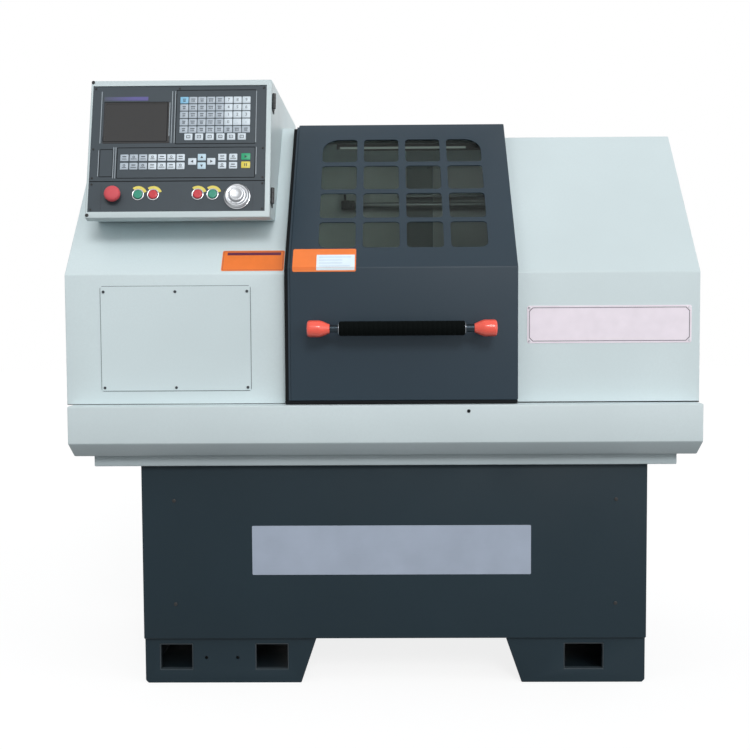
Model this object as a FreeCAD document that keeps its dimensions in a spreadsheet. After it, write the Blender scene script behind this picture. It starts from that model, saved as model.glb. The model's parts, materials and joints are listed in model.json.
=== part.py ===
import FreeCAD, Part
import math
import os
import Sketcher

# Small flat-bed CNC lathe.
# Frame: +X to the operator's right, +Y away from the operator, +Z up, millimetres.
# Origin: on the floor, in the middle of the four anchor holes.

V = FreeCAD.Vector

# Driving dimensions, all in millimetres unless the name says share, angle or count.
sizes = {
    # feet
    "foot_height": 117.0,
    "foot_half_depth": 367.0,
    "foot_wall": 6.0,
    "foot_plate": 12.0,
    "foot_chamfer": 7.0,
    "foot_rake": 40.0,
    "left_foot_inner": 174.0,
    "right_foot_inner": 303.0,
    "foot_window_low": 34.0,
    "foot_window_high": 101.0,
    "left_window_one": 572.0,
    "left_window_two": 330.0,
    "left_window_width": 84.0,
    "right_window_start": 449.0,
    "right_window_width": 100.0,
    "foot_hole_radius": 4.5,
    "foot_hole_level": 65.0,
    "foot_hole_one": 454.0,
    "foot_hole_two": 375.0,
    "anchor_half_x": 505.0,
    "anchor_half_y": 300.0,
    "anchor_radius": 9.0,
    "jack_left": 400.0,
    "jack_right": 395.0,
    "jack_radius": 10.0,
    "jack_length": 64.0,
    "jack_nut_radius": 17.0,
    "jack_nut_height": 16.0,
    # base cabinet
    "cabinet_left": 609.0,
    "cabinet_right": 653.0,
    "cabinet_half_depth": 380.0,
    "cabinet_top": 558.0,
    "cabinet_sheet": 3.0,
    "drain_x": 380.0,
    "drain_y": 230.0,
    "drain_radius": 35.0,
    # pan and chip tray
    "pan_half_width": 720.0,
    "pan_half_depth": 400.0,
    "pan_top": 587.0,
    "tray_half_width": 770.0,
    "tray_half_depth": 455.0,
    "tray_edge": 620.0,
    "tray_top": 712.0,
    "tray_foot_half_width": 762.0,
    "tray_foot_half_depth": 428.0,
    "tray_sheet": 3.0,
    "tray_rim": 65.0,
    # covers
    "cover_front": 403.0,
    "cover_back": 426.0,
    "cover_knee": 1032.0,
    "cover_top": 1406.5,
    "cover_slope_angle": 42.3,
    "cover_sheet": 3.0,
    "left_cover_outer": 784.0,
    "left_cover_top": 1440.0,
    "left_cover_inner": 242.0,
    "right_cover_inner": 299.0,
    "right_cover_outer": 773.0,
    "bar_hole_radius": 30.0,
    "nose_hole_radius": 75.0,
    "guard_lip_front": 30.0,
    "guard_lip_height": 10.0,
    # access panel on the left cover
    "access_left": 696.0,
    "access_right": 328.0,
    "access_low": 746.0,
    "access_high": 1002.5,
    "access_sheet": 2.0,
    "access_lap": 20.0,
    "screw_radius": 5.0,
    "screw_head": 2.0,
    "screw_inset": 7.5,
    "top_screw_drop": 13.0,
    "cabinet_screw_left": 527.5,
    "cabinet_screw_right": 575.5,
    "cabinet_screw_high": 468.0,
    "cabinet_screw_low": 206.0,
    # sliding door
    "door_left": 228.0,
    "door_right": 325.0,
    "door_proud": 34.5,
    "door_sheet": 2.5,
    "door_clearance": 4.0,
    "door_bottom": 722.0,
    "door_back": 40.0,
    "window_low": 67.0,
    "window_hole_width": 91.0,
    "window_hole_height": 90.0,
    "window_pitch_x": 109.0,
    "window_pitch_v": 105.5,
    "window_hole_radius": 10.0,
    "window_top_radius": 45.0,
    "window_bottom_radius": 20.0,
    "window_lap": 12.0,
    "pane_thickness": 4.0,
    "rail_half_width": 12.0,
    "rail_height": 3.0,
    "rail_end_gap": 5.0,
    "glide_length": 40.0,
    "glide_half_width": 18.0,
    "glide_inset": 34.0,
    "slide_gap": 0.3,
    # door handle
    "handle_level": 898.0,
    "handle_stand_off": 51.5,
    "handle_left": 129.0,
    "handle_right": 215.0,
    "handle_tube_radius": 9.0,
    "grip_radius": 17.5,
    "grip_gap": 22.5,
    "handle_end_radius": 20.0,
    "handle_end_body": 26.0,
    "handle_end_nose": 8.0,
    "handle_end_collar": 20.0,
    "handle_post_radius": 11.0,
    # control box on top of the left cover
    "box_inset": 35.0,
    "box_width": 452.0,
    "box_face_front": 412.0,
    "box_bottom": 1169.0,
    "box_top": 1518.0,
    "box_back": 422.0,
    "box_tilt_angle": 15.2,
    "box_sheet": 3.0,
    "lid_depth": 22.0,
    "lid_gap": 0.5,
    "lid_sheet": 2.5,
    "lid_length": 362.0,
    "panel_left_share": 0.012168,
    "panel_width_share": 0.960177,
    "panel_low": 16.0,
    "panel_height": 331.0,
    "panel_lap": 2.0,
    "panel_thickness": 3.0,
    # lid hinges
    "hinge_axis_out": 5.0,
    "hinge_radius": 4.6,
    "hinge_pin_radius": 2.5,
    "hinge_low": 39.0,
    "hinge_high": 288.0,
    "hinge_length": 40.0,
    "hinge_leaf": 2.5,
    "hinge_leaf_reach": 34.0,
    "hinge_bridge": 4.0,
    # screen and keys, measured from the lower left corner of the lid; a share is of its width
    "screen_left_share": 0.075221,
    "screen_width_share": 0.365044,
    "screen_low": 195.0,
    "screen_height": 110.0,
    "screen_lap": 4.0,
    "screen_depth": 14.0,
    "screen_recess": 0.5,
    "key_height": 1.2,
    "key_width_share": 0.044248,
    "key_length": 17.2,
    "pad_left_share": 0.496681,
    "pad_top": 317.0,
    "pad_pitch_x_share": 0.048894,
    "pad_pitch_v": 19.6,
    "pad_last_left_share": 0.524336,
    "pad_last_top": 219.5,
    "pad_last_pitch_share": 0.058628,
    "mode_left_share": 0.178319,
    "mode_top": 165.5,
    "mode_pitch_x_share": 0.051327,
    "mode_pitch_v": 22.0,
    "jog_centre_x_share": 0.623894,
    "jog_centre_v": 146.0,
    "jog_reach_x_share": 0.051991,
    "jog_reach_v": 11.0,
    "spare_left_share": 0.713496,
    "spare_top": 165.5,
    "spare_pitch_x_share": 0.059735,
    "spare_pitch_v": 21.5,
    "cycle_left_share": 0.839602,
    "cycle_start_low": 149.5,
    "cycle_hold_low": 128.0,
    "cycle_width_share": 0.048673,
    "cycle_length": 17.0,
    # push buttons and pulse handwheel
    "stop_x_share": 0.150442,
    "stop_v": 58.0,
    "button_one_x_share": 0.283186,
    "button_two_x_share": 0.365044,
    "button_three_x_share": 0.607301,
    "button_four_x_share": 0.688053,
    "button_v": 60.5,
    "bezel_radius": 15.0,
    "bezel_height": 3.0,
    "bezel_neck_radius": 13.0,
    "bezel_neck_depth": 18.5,
    "bezel_floor": 3.5,
    "button_radius": 11.0,
    "button_gap": 0.3,
    "button_proud": 2.0,
    "button_inner": 10.0,
    "stop_head_radius": 20.0,
    "stop_head_low": 8.0,
    "stop_head_height": 13.0,
    "stop_head_round": 5.0,
    "wheel_x_share": 0.821903,
    "wheel_v": 54.0,
    "wheel_base_radius": 33.0,
    "wheel_radius": 31.0,
    "wheel_base_height": 4.0,
    "wheel_height": 9.0,
    "wheel_hub_radius": 18.0,
    "wheel_hub_height": 9.0,
    "wheel_stem_radius": 8.0,
    # spindle line
    "spindle_y": 40.0,
    "spindle_level": 960.0,
    "spindle_rear": 640.0,
    "spindle_radius": 32.0,
    "spindle_bore_radius": 19.0,
    "spindle_flange_radius": 60.0,
    "spindle_flange_length": 32.0,
    "chuck_back": 225.0,
    "chuck_length": 75.0,
    "chuck_radius": 100.0,
    "chuck_bore_radius": 26.0,
    "jaw_length": 35.0,
    "jaw_half_width": 12.0,
    "jaw_inner": 32.0,
    "jaw_outer": 88.0,
    "jaw_step": 60.0,
    "jaw_step_length": 15.0,
    "jaw_key_depth": 10.0,
    "jaw_key_half_width": 6.0,
    "jaw_slot_inner": 20.0,
    "bearing_radius": 50.0,
    "bearing_width": 30.0,
    "seat_gap": 0.02,
    "running_gap": 0.05,
    # headstock and bed
    "bed_left": 560.0,
    "bed_right": 690.0,
    "bed_half_width": 125.0,
    "bed_top": 800.0,
    "bed_wall": 20.0,
    "bed_deck": 30.0,
    "way_gap_half_width": 60.0,
    "way_gap_depth": 15.0,
    "way_start": 250.0,
    "headstock_left": 545.0,
    "headstock_right": 265.0,
    "headstock_half_width": 110.0,
    "headstock_top": 1085.0,
    "headstock_wall": 20.0,
    "headstock_end_wall": 45.0,
    "headstock_round": 25.0,
    # drive
    "pulley_left": 600.0,
    "pulley_width": 34.0,
    "pulley_flange": 2.0,
    "pulley_flange_rise": 8.0,
    "spindle_pulley_radius": 70.0,
    "motor_pulley_radius": 45.0,
    "belt_thickness": 6.0,
    "belt_gap": 0.3,
    "motor_y": 270.0,
    "motor_level": 750.0,
    "motor_radius": 90.0,
    "motor_left": 530.0,
    "motor_length": 240.0,
    "motor_foot_half_width": 70.0,
    "motor_shaft_radius": 14.0,
    "motor_shaft_depth": 60.0,
    # carriage
    "saddle_x": 60.0,
    "saddle_half_length": 110.0,
    "saddle_front": 230.0,
    "saddle_back": 149.0,
    "saddle_height": 40.0,
    "saddle_lip_depth": 40.0,
    "saddle_lip_gap": 2.0,
    "cross_half_width": 70.0,
    "cross_front": 275.0,
    "cross_back": 15.0,
    "cross_height": 34.0,
    "cross_nut_y": 70.0,
    "cross_nut_half_length": 20.0,
    "cross_nut_half_width": 15.0,
    "x_channel_half_width": 20.0,
    "x_channel_depth": 34.0,
    "x_channel_wall": 16.0,
    "x_screw_radius": 10.0,
    "x_screw_drop": 18.0,
    "x_motor_half_width": 35.0,
    "x_motor_length": 90.0,
    "z_screw_y": 128.0,
    "z_screw_level": 770.0,
    "z_screw_radius": 12.5,
    "z_nut_half_length": 30.0,
    "z_nut_half_height": 24.0,
    "z_nut_front": 104.0,
    "bracket_left": 230.0,
    "bracket_right": 640.0,
    "bracket_length": 30.0,
    "bracket_half_height": 29.0,
    "bracket_back": 152.0,
    "z_motor_half_width": 40.0,
    "z_motor_length": 92.0,
    # tool turret
    "turret_y": 195.0,
    "turret_half_width": 60.0,
    "turret_base_half_width": 55.0,
    "turret_base_height": 24.0,
    "turret_head_height": 92.0,
    "turret_cap_radius": 30.0,
    "turret_cap_height": 14.0,
    "tool_side": 20.0,
    "tool_inner": 36.0,
    "tool_tail": 50.0,
    "tool_reach": 85.0,
    "tool_slot_gap": 0.5,
    # tailstock
    "tail_left": 545.0,
    "tail_length": 140.0,
    "tail_foot_height": 55.0,
    "tail_foot_half_width": 115.0,
    "tail_column_half_width": 45.0,
    "tail_barrel_radius": 42.0,
    "quill_radius": 25.0,
    "quill_nose": 536.0,
    "quill_length": 124.0,
    "centre_length": 46.0,
    "centre_radius": 12.0,
    "centre_tip_radius": 1.0,
    "tail_wheel_radius": 50.0,
    "tail_wheel_width": 14.0,
    "tail_wheel_gap": 6.0,
    "tail_wheel_hub": 16.0,
    "tail_wheel_shaft": 8.0,
    "tail_wheel_hole": 9.0,
    # coolant and electrics
    "tank_left": 150.0,
    "tank_right": 550.0,
    "tank_half_depth": 330.0,
    "tank_height": 180.0,
    "tank_sheet": 3.0,
    "tank_deck": 150.0,
    "pump_radius": 45.0,
    "pump_height": 150.0,
    "pump_x": 475.0,
    "pump_pipe_radius": 20.0,
    "pump_pipe_length": 150.0,
    "drive_inset": 29.0,
    "drive_width": 300.0,
    "drive_front": 100.0,
    "drive_depth": 280.0,
    "drive_height": 60.0,
    "gland_inset": 129.0,
    "gland_level": 1479.0,
    "gland_radius": 14.0,
    "gland_length": 30.0,
    "gland_bore_radius": 7.0,
    "gland_nut_radius": 18.0,
    "gland_nut_length": 6.0,
    "lamp_left": 75.0,
    "lamp_length": 350.0,
    "lamp_front": 10.0,
    "lamp_width": 30.0,
    "lamp_height": 20.0,
    # one overrun for all cuts
    "overrun": 5.0,
}

# counts of the holes that divide the window into a grid
window_columns = 4
window_rows = 4

doc = FreeCAD.newDocument("cnc_lathe")
sheet = doc.addObject("Spreadsheet::Sheet", "Sizes")
for row, (name, number) in enumerate(sizes.items(), start=1):
    sheet.set(f"A{row}", name)
    sheet.set(f"B{row}", str(number))
    sheet.setAlias(f"B{row}", name)
doc.recompute()


class Size:
    # a length or angle together with the sheet formula that gives it
    def __init__(self, value, text):
        self.value = value
        self.text = text

    def __add__(self, other):
        other = as_size(other)
        return Size(self.value + other.value, f"({self.text} + {other.text})")

    def __sub__(self, other):
        other = as_size(other)
        return Size(self.value - other.value, f"({self.text} - {other.text})")

    def __mul__(self, other):
        other = as_size(other)
        return Size(self.value * other.value, f"({self.text} * {other.text})")

    def __truediv__(self, other):
        other = as_size(other)
        return Size(self.value / other.value, f"({self.text} / {other.text})")

    def __neg__(self):
        return Size(-self.value, f"(-{self.text})")

    def __radd__(self, other):
        return as_size(other) + self

    def __rsub__(self, other):
        return as_size(other) - self

    def __rmul__(self, other):
        return as_size(other) * self


def as_size(number):
    if isinstance(number, Size):
        return number
    return Size(float(number), f"({number})")


def sine(angle):
    return Size(math.sin(math.radians(angle.value)), f"sin({angle.text})")


def cosine(angle):
    return Size(math.cos(math.radians(angle.value)), f"cos({angle.text})")


def tangent(angle):
    return Size(math.tan(math.radians(angle.value)), f"tan({angle.text})")


class Named:
    pass


s = Named()
for name, number in sizes.items():
    setattr(s, name, Size(number, f"Sizes.{name}"))

nodes = []
pockets = []
zero = as_size(0)


def bind(thing, path, size):
    thing.setExpression(path, as_size(size).text)


def place(thing, x, y, z):
    bind(thing, "Placement.Base.x", x)
    bind(thing, "Placement.Base.y", y)
    bind(thing, "Placement.Base.z", z)
    return thing


def node(name, thing):
    thing.Label = name
    nodes.append(thing)
    return thing


# Part primitives

def block(x0, x1, y0, y1, z0, z1):
    box = doc.addObject("Part::Box", "Block")
    bind(box, "Length", as_size(x1) - x0)
    bind(box, "Width", as_size(y1) - y0)
    bind(box, "Height", as_size(z1) - z0)
    return place(box, x0, y0, z0)


turns = {
    "X": FreeCAD.Rotation(V(0, 1, 0), 90),
    "Y": FreeCAD.Rotation(V(1, 0, 0), -90),
    "Z": FreeCAD.Rotation(),
}


def rod(axis, radius, start, end, first, second):
    # a cylinder along one axis; first and second are its other two coordinates, in XYZ order
    cylinder = doc.addObject("Part::Cylinder", "Rod")
    bind(cylinder, "Radius", radius)
    bind(cylinder, "Height", as_size(end) - start)
    cylinder.Placement = FreeCAD.Placement(V(0, 0, 0), turns[axis])
    places = {"X": (start, first, second), "Y": (first, start, second), "Z": (first, second, start)}
    return place(cylinder, *places[axis])


def cone(axis, radius_start, radius_end, start, end, first, second):
    taper = doc.addObject("Part::Cone", "Taper")
    bind(taper, "Radius1", radius_start)
    bind(taper, "Radius2", radius_end)
    bind(taper, "Height", as_size(end) - start)
    taper.Placement = FreeCAD.Placement(V(0, 0, 0), turns[axis])
    places = {"X": (start, first, second), "Y": (first, start, second), "Z": (first, second, start)}
    return place(taper, *places[axis])


def joined(*things):
    fuse = doc.addObject("Part::MultiFuse", "Joined")
    fuse.Shapes = list(things)
    fuse.Refine = True
    return fuse


def less(base, *tools):
    cut = doc.addObject("Part::Cut", "Less")
    cut.Base = base
    cut.Tool = tools[0] if len(tools) == 1 else joined(*tools)
    cut.Refine = True
    return cut


def group(*things):
    compound = doc.addObject("Part::Compound", "Group")
    compound.Links = list(things)
    return compound


# PartDesign bodies

def new_body(name):
    return doc.addObject("PartDesign::Body", name)


def sketch_on(body, role, level):
    # role is the origin plane, level its distance along +X, +Y or +Z
    sketch = body.newObject("Sketcher::SketchObject", "Outline")
    plane = [f for f in body.Origin.OriginFeatures if f.Role == role][0]
    sketch.AttachmentSupport = [(plane, "")]
    sketch.MapMode = "FlatFace"
    sign = -1 if role == "XZ_Plane" else 1
    bind(sketch, "AttachmentOffset.Base.z", sign * as_size(level))
    return sketch


def polygon(sketch, points):
    # each corner is held by its distances from the sketch's origin
    count = len(points)
    first = sketch.GeometryCount
    corners = [V(as_size(x).value, as_size(y).value, 0) for x, y in points]
    for i in range(count):
        sketch.addGeometry(Part.LineSegment(corners[i], corners[(i + 1) % count]), False)
    for i in range(count):
        here = first + i
        following = first + (i + 1) % count
        sketch.addConstraint(Sketcher.Constraint("Coincident", here, 2, following, 1))
    for i, (x, y) in enumerate(points):
        for kind, size in (("DistanceX", as_size(x)), ("DistanceY", as_size(y))):
            rule = Sketcher.Constraint(kind, -1, 1, first + i, 1, size.value)
            index = sketch.addConstraint(rule)
            bind(sketch, f"Constraints[{index}]", size)


def rectangle(sketch, x0, x1, y0, y1):
    polygon(sketch, [(x0, y0), (x1, y0), (x1, y1), (x0, y1)])


def ring(sketch, x, y, radius):
    geometry = sketch.addGeometry(Part.Circle(V(as_size(x).value, as_size(y).value, 0), V(0, 0, 1),
                                              as_size(radius).value), False)
    rules = [("DistanceX", as_size(x)), ("DistanceY", as_size(y))]
    for kind, size in rules:
        index = sketch.addConstraint(Sketcher.Constraint(kind, -1, 1, geometry, 3, size.value))
        bind(sketch, f"Constraints[{index}]", size)
    index = sketch.addConstraint(Sketcher.Constraint("Radius", geometry, as_size(radius).value))
    bind(sketch, f"Constraints[{index}]", radius)


def pad(body, sketch, length):
    # grows towards the positive axis
    feature = body.newObject("PartDesign::Pad", "Pad")
    feature.Profile = sketch
    bind(feature, "Length", length)
    feature.Reversed = sketch.AttachmentSupport[0][0].Role == "XZ_Plane"
    sketch.Visibility = False
    return feature


def pocket(body, sketch, length):
    # cuts towards the positive axis
    feature = body.newObject("PartDesign::Pocket", "Pocket")
    feature.Profile = sketch
    bind(feature, "Length", length)
    feature.Reversed = sketch.AttachmentSupport[0][0].Role != "XZ_Plane"
    sketch.Visibility = False
    pockets.append(feature)
    return feature


# The covers, the door and the clearance between them share one profile in the YZ plane.

slope = s.cover_slope_angle
spindle_y = -s.spindle_y
spindle_z = s.spindle_level


def slope_y(level, offset):
    # Y of the sloped face at a height, moved outwards by offset
    rise = as_size(level) - s.cover_knee
    return -s.cover_front + rise * tangent(slope) - as_size(offset) / cosine(slope)


def knee_point(offset):
    offset = as_size(offset)
    return -s.cover_front - offset, s.cover_knee + offset * tangent(slope / 2)


def cover_profile(offset, bottom, back, top=s.cover_top):
    offset = as_size(offset)
    knee_y, knee_z = knee_point(offset)
    top_z = top + offset
    top_y = slope_y(top_z, offset)
    return [(knee_y, bottom), (knee_y, knee_z), (top_y, top_z), (back, top_z), (back, bottom)]


# feet

def foot(name, side, outer, inner, windows, jack):
    # side is -1 for the left foot and 1 for the right one
    outer_x = side * outer
    inner_x = side * inner
    low_x = side * (inner + s.foot_rake)
    body = new_body(name)
    plan = sketch_on(body, "XZ_Plane", -s.foot_half_depth)
    polygon(plan, [(outer_x, s.foot_chamfer), (outer_x, s.foot_height), (inner_x, s.foot_height),
                   (low_x, zero), (outer_x - side * s.foot_chamfer, zero)])
    pad(body, plan, s.foot_half_depth * 2)
    hollow = sketch_on(body, "XZ_Plane", -s.foot_half_depth + s.foot_wall)
    above = s.foot_height + s.overrun
    lean = s.foot_rake / s.foot_height
    polygon(hollow, [(outer_x - side * s.foot_wall, s.foot_plate), (outer_x - side * s.foot_wall, above),
                     (inner_x + side * (s.foot_wall - s.overrun * lean), above),
                     (low_x + side * (s.foot_wall - s.foot_plate * lean), s.foot_plate)])
    pocket(body, hollow, (s.foot_half_depth - s.foot_wall) * 2)
    openings = sketch_on(body, "XZ_Plane", -s.foot_half_depth - s.overrun)
    for start, end in windows:
        rectangle(openings, start, end, s.foot_window_low, s.foot_window_high)
    pocket(body, openings, (s.foot_half_depth + s.overrun) * 2)
    drilled = sketch_on(body, "XY_Plane", -s.overrun)
    for y in (-s.anchor_half_y, s.anchor_half_y):
        ring(drilled, side * s.anchor_half_x, y, s.anchor_radius)
        ring(drilled, side * jack, y, s.jack_radius + s.slide_gap)
    pocket(body, drilled, s.foot_plate + s.overrun * 2)
    return body


left_foot = foot("left_foot_body", -1, s.cabinet_left, s.left_foot_inner,
                 [(-s.left_window_one, -s.left_window_one + s.left_window_width),
                  (-s.left_window_two, -s.left_window_two + s.left_window_width)], s.jack_left)
bolt_holes = sketch_on(left_foot, "XZ_Plane", -s.foot_half_depth - s.overrun)
for hole_x in (s.foot_hole_one, s.foot_hole_two):
    ring(bolt_holes, -hole_x, s.foot_hole_level, s.foot_hole_radius)
pocket(left_foot, bolt_holes, s.foot_wall + s.overrun * 2)
node("left_foot", left_foot)

right_foot = foot("right_foot_body", 1, s.cabinet_right, s.right_foot_inner,
                  [(s.right_window_start, s.right_window_start + s.right_window_width)], s.jack_right)
node("right_foot", right_foot)


def jack_screw(x, y):
    shank = rod("Z", s.jack_radius, zero, s.jack_length, x, y)
    nut = doc.addObject("Part::Prism", "Nut")
    nut.Polygon = 6
    bind(nut, "Circumradius", s.jack_nut_radius)
    bind(nut, "Height", s.jack_nut_height)
    place(nut, x, y, s.foot_plate)
    head = doc.addObject("Part::Prism", "Head")
    head.Polygon = 6
    bind(head, "Circumradius", s.jack_nut_radius)
    bind(head, "Height", s.jack_nut_height)
    place(head, x, y, s.jack_length)
    return joined(shank, nut, head)


jacks = []
for jack_x in (-s.jack_left, s.jack_right):
    for jack_y in (-s.anchor_half_y, s.anchor_half_y):
        jacks.append(jack_screw(jack_x, jack_y))
node("levelling_screws", group(*jacks))


# cabinet, pan and tray: the coolant drains through all three into the tank

def drain_hole(z0, z1):
    return rod("Z", s.drain_radius, z0 - s.overrun, z1 + s.overrun, s.drain_x, s.drain_y)


cabinet_shell = block(-s.cabinet_left, s.cabinet_right, -s.cabinet_half_depth, s.cabinet_half_depth,
                      s.foot_height, s.cabinet_top)
cabinet_room = block(-s.cabinet_left + s.cabinet_sheet, s.cabinet_right - s.cabinet_sheet,
                     -s.cabinet_half_depth + s.cabinet_sheet, s.cabinet_half_depth - s.cabinet_sheet,
                     s.foot_height + s.cabinet_sheet, s.cabinet_top - s.cabinet_sheet)
cabinet_drain = drain_hole(s.cabinet_top - s.cabinet_sheet, s.cabinet_top)
node("base_cabinet", less(cabinet_shell, cabinet_room, cabinet_drain))

pan_shell = block(-s.pan_half_width, s.pan_half_width, -s.pan_half_depth, s.pan_half_depth,
                  s.cabinet_top, s.pan_top)
pan_room = block(-s.pan_half_width + s.tray_sheet, s.pan_half_width - s.tray_sheet,
                 -s.pan_half_depth + s.tray_sheet, s.pan_half_depth - s.tray_sheet,
                 s.cabinet_top + s.tray_sheet, s.pan_top + s.overrun)
node("lower_pan", less(pan_shell, pan_room, drain_hole(s.cabinet_top, s.cabinet_top + s.tray_sheet)))


def tapered_block(half_x, half_y, z0, half_x_top, half_y_top, z1):
    # a frustum centred on the origin; its own Y axis is stood up along Z
    wedge = doc.addObject("Part::Wedge", "Tapered")
    bind(wedge, "Xmin", -half_x)
    bind(wedge, "Xmax", half_x)
    bind(wedge, "Zmin", -half_y)
    bind(wedge, "Zmax", half_y)
    bind(wedge, "X2min", -half_x_top)
    bind(wedge, "X2max", half_x_top)
    bind(wedge, "Z2min", -half_y_top)
    bind(wedge, "Z2max", half_y_top)
    bind(wedge, "Ymin", z0)
    bind(wedge, "Ymax", z1)
    wedge.Placement = FreeCAD.Placement(V(0, 0, 0), FreeCAD.Rotation(V(1, 0, 0), 90))
    return wedge


tray_floor = s.pan_top + s.tray_sheet
tray_outside = joined(
    tapered_block(s.tray_foot_half_width, s.tray_foot_half_depth, s.pan_top,
                  s.tray_half_width, s.tray_half_depth, s.tray_edge),
    block(-s.tray_half_width, s.tray_half_width, -s.tray_half_depth, s.tray_half_depth,
          s.tray_edge, s.tray_top))
tray_inside = joined(
    tapered_block(s.tray_foot_half_width - s.tray_sheet, s.tray_foot_half_depth - s.tray_sheet, tray_floor,
                  s.tray_half_width - s.tray_sheet, s.tray_half_depth - s.tray_sheet, s.tray_edge),
    block(-s.tray_half_width + s.tray_sheet, s.tray_half_width - s.tray_sheet,
          -s.tray_half_depth + s.tray_sheet, s.tray_half_depth - s.tray_sheet,
          s.tray_edge, s.tray_top - s.tray_sheet))
tray_mouth = block(-s.tray_half_width + s.tray_rim, s.tray_half_width - s.tray_rim,
                   -s.tray_half_depth + s.tray_rim, s.tray_half_depth - s.tray_rim,
                   s.tray_top - s.tray_sheet - s.overrun, s.tray_top + s.overrun)
node("chip_tray", less(tray_outside, tray_inside, tray_mouth, drain_hole(s.pan_top, tray_floor)))

# bed and headstock

bed_front = spindle_y - s.bed_half_width
bed_back = spindle_y + s.bed_half_width
bed_body = block(-s.bed_left, s.bed_right, bed_front, bed_back, tray_floor, s.bed_top)
bed_room = block(-s.bed_left + s.bed_wall, s.bed_right - s.bed_wall, bed_front + s.bed_wall,
                 bed_back - s.bed_wall, tray_floor - s.overrun, s.bed_top - s.bed_deck)
way_gap = block(-s.way_start, s.bed_right + s.overrun, spindle_y - s.way_gap_half_width,
                spindle_y + s.way_gap_half_width, s.bed_top - s.way_gap_depth, s.bed_top + s.overrun)
node("bed_casting", less(bed_body, bed_room, way_gap))

headstock = new_body("headstock_body")
headstock_front = spindle_y - s.headstock_half_width
headstock_back = spindle_y + s.headstock_half_width
headstock_plan = sketch_on(headstock, "YZ_Plane", -s.headstock_left)
rectangle(headstock_plan, headstock_front, headstock_back, s.bed_top, s.headstock_top)
headstock_pad = pad(headstock, headstock_plan, s.headstock_left - s.headstock_right)
headstock_room = sketch_on(headstock, "YZ_Plane", -s.headstock_left + s.headstock_end_wall)
rectangle(headstock_room, headstock_front + s.headstock_wall, headstock_back - s.headstock_wall,
          s.bed_top + s.headstock_wall, s.headstock_top - s.headstock_wall)
pocket(headstock, headstock_room, s.headstock_left - s.headstock_right - s.headstock_end_wall * 2)
bearing_bore = sketch_on(headstock, "YZ_Plane", -s.headstock_left - s.overrun)
ring(bearing_bore, spindle_y, spindle_z, s.bearing_radius)
headstock_bore = pocket(headstock, bearing_bore, s.headstock_left - s.headstock_right + s.overrun * 2)
doc.recompute()


def edges_where(feature, test):
    return [f"Edge{i}" for i, edge in enumerate(feature.Shape.Edges, start=1) if test(edge)]


def outer_top_edge(edge):
    box = edge.BoundBox
    top = abs(box.ZMax - s.headstock_top.value) < s.seat_gap.value
    flat = box.ZLength < s.seat_gap.value
    return top and flat and box.YLength < s.seat_gap.value


rounded = headstock.newObject("PartDesign::Fillet", "TopRound")
rounded.Base = (headstock_bore, edges_where(headstock_bore, outer_top_edge))
bind(rounded, "Radius", s.headstock_round)
node("headstock_casting", headstock)


def bearing(start):
    outer = rod("X", s.bearing_radius - s.seat_gap, start, start + s.bearing_width, spindle_y, spindle_z)
    inner = rod("X", s.spindle_radius + s.running_gap, start - s.overrun,
                start + s.bearing_width + s.overrun, spindle_y, spindle_z)
    return less(outer, inner)


node("spindle_bearings", group(bearing(-s.headstock_left),
                               bearing(-s.headstock_right - s.bearing_width)))

# spindle, chuck and jaws

spindle_front = -s.chuck_back
spindle_shaft = rod("X", s.spindle_radius, -s.spindle_rear, spindle_front, spindle_y, spindle_z)
spindle_flange = rod("X", s.spindle_flange_radius, spindle_front - s.spindle_flange_length, spindle_front,
                     spindle_y, spindle_z)
spindle_bore = rod("X", s.spindle_bore_radius, -s.spindle_rear - s.overrun, spindle_front + s.overrun,
                   spindle_y, spindle_z)
node("spindle", less(joined(spindle_shaft, spindle_flange), spindle_bore))

jaw_angles = (90, 210, 330)


def turned_about_spindle(thing, angle):
    # a piece drawn with the spindle axis as its X axis
    thing.Placement = FreeCAD.Placement(V(0, 0, 0), FreeCAD.Rotation(V(1, 0, 0), angle))
    return place(thing, zero, spindle_y, spindle_z)


chuck_front = spindle_front + s.chuck_length


def jaw_slot():
    # runs out along the piece's own +Y, as the jaw does
    return block(chuck_front - s.jaw_key_depth - s.slide_gap, chuck_front + s.overrun,
                 s.jaw_slot_inner, s.chuck_radius + s.overrun,
                 -s.jaw_key_half_width - s.slide_gap, s.jaw_key_half_width + s.slide_gap)


chuck_disc = rod("X", s.chuck_radius, spindle_front, chuck_front, zero, zero)
chuck_hole = rod("X", s.chuck_bore_radius, spindle_front - s.overrun, chuck_front + s.overrun, zero, zero)
slots = []
for angle in jaw_angles:
    slot = group(jaw_slot())
    slot.Placement = FreeCAD.Placement(V(0, 0, 0), FreeCAD.Rotation(V(1, 0, 0), angle))
    slots.append(slot)
chuck = less(chuck_disc, chuck_hole, *slots)
node("chuck_body", turned_about_spindle(chuck, 0))


def jaw():
    base = block(chuck_front + s.slide_gap, chuck_front + s.slide_gap + s.jaw_length,
                 s.jaw_inner, s.jaw_outer, -s.jaw_half_width, s.jaw_half_width)
    step = block(chuck_front + s.slide_gap + s.jaw_step_length,
                 chuck_front + s.slide_gap + s.jaw_length + s.overrun,
                 s.jaw_step, s.jaw_outer + s.overrun,
                 -s.jaw_half_width - s.overrun, s.jaw_half_width + s.overrun)
    key = block(chuck_front - s.jaw_key_depth, chuck_front + s.slide_gap * 2,
                s.jaw_inner, s.jaw_outer, -s.jaw_key_half_width, s.jaw_key_half_width)
    return joined(less(base, step), key)


for number, angle in enumerate(jaw_angles, start=1):
    node(f"chuck_jaw_{number}", turned_about_spindle(jaw(), angle))


# belt drive at the left of the headstock

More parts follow.
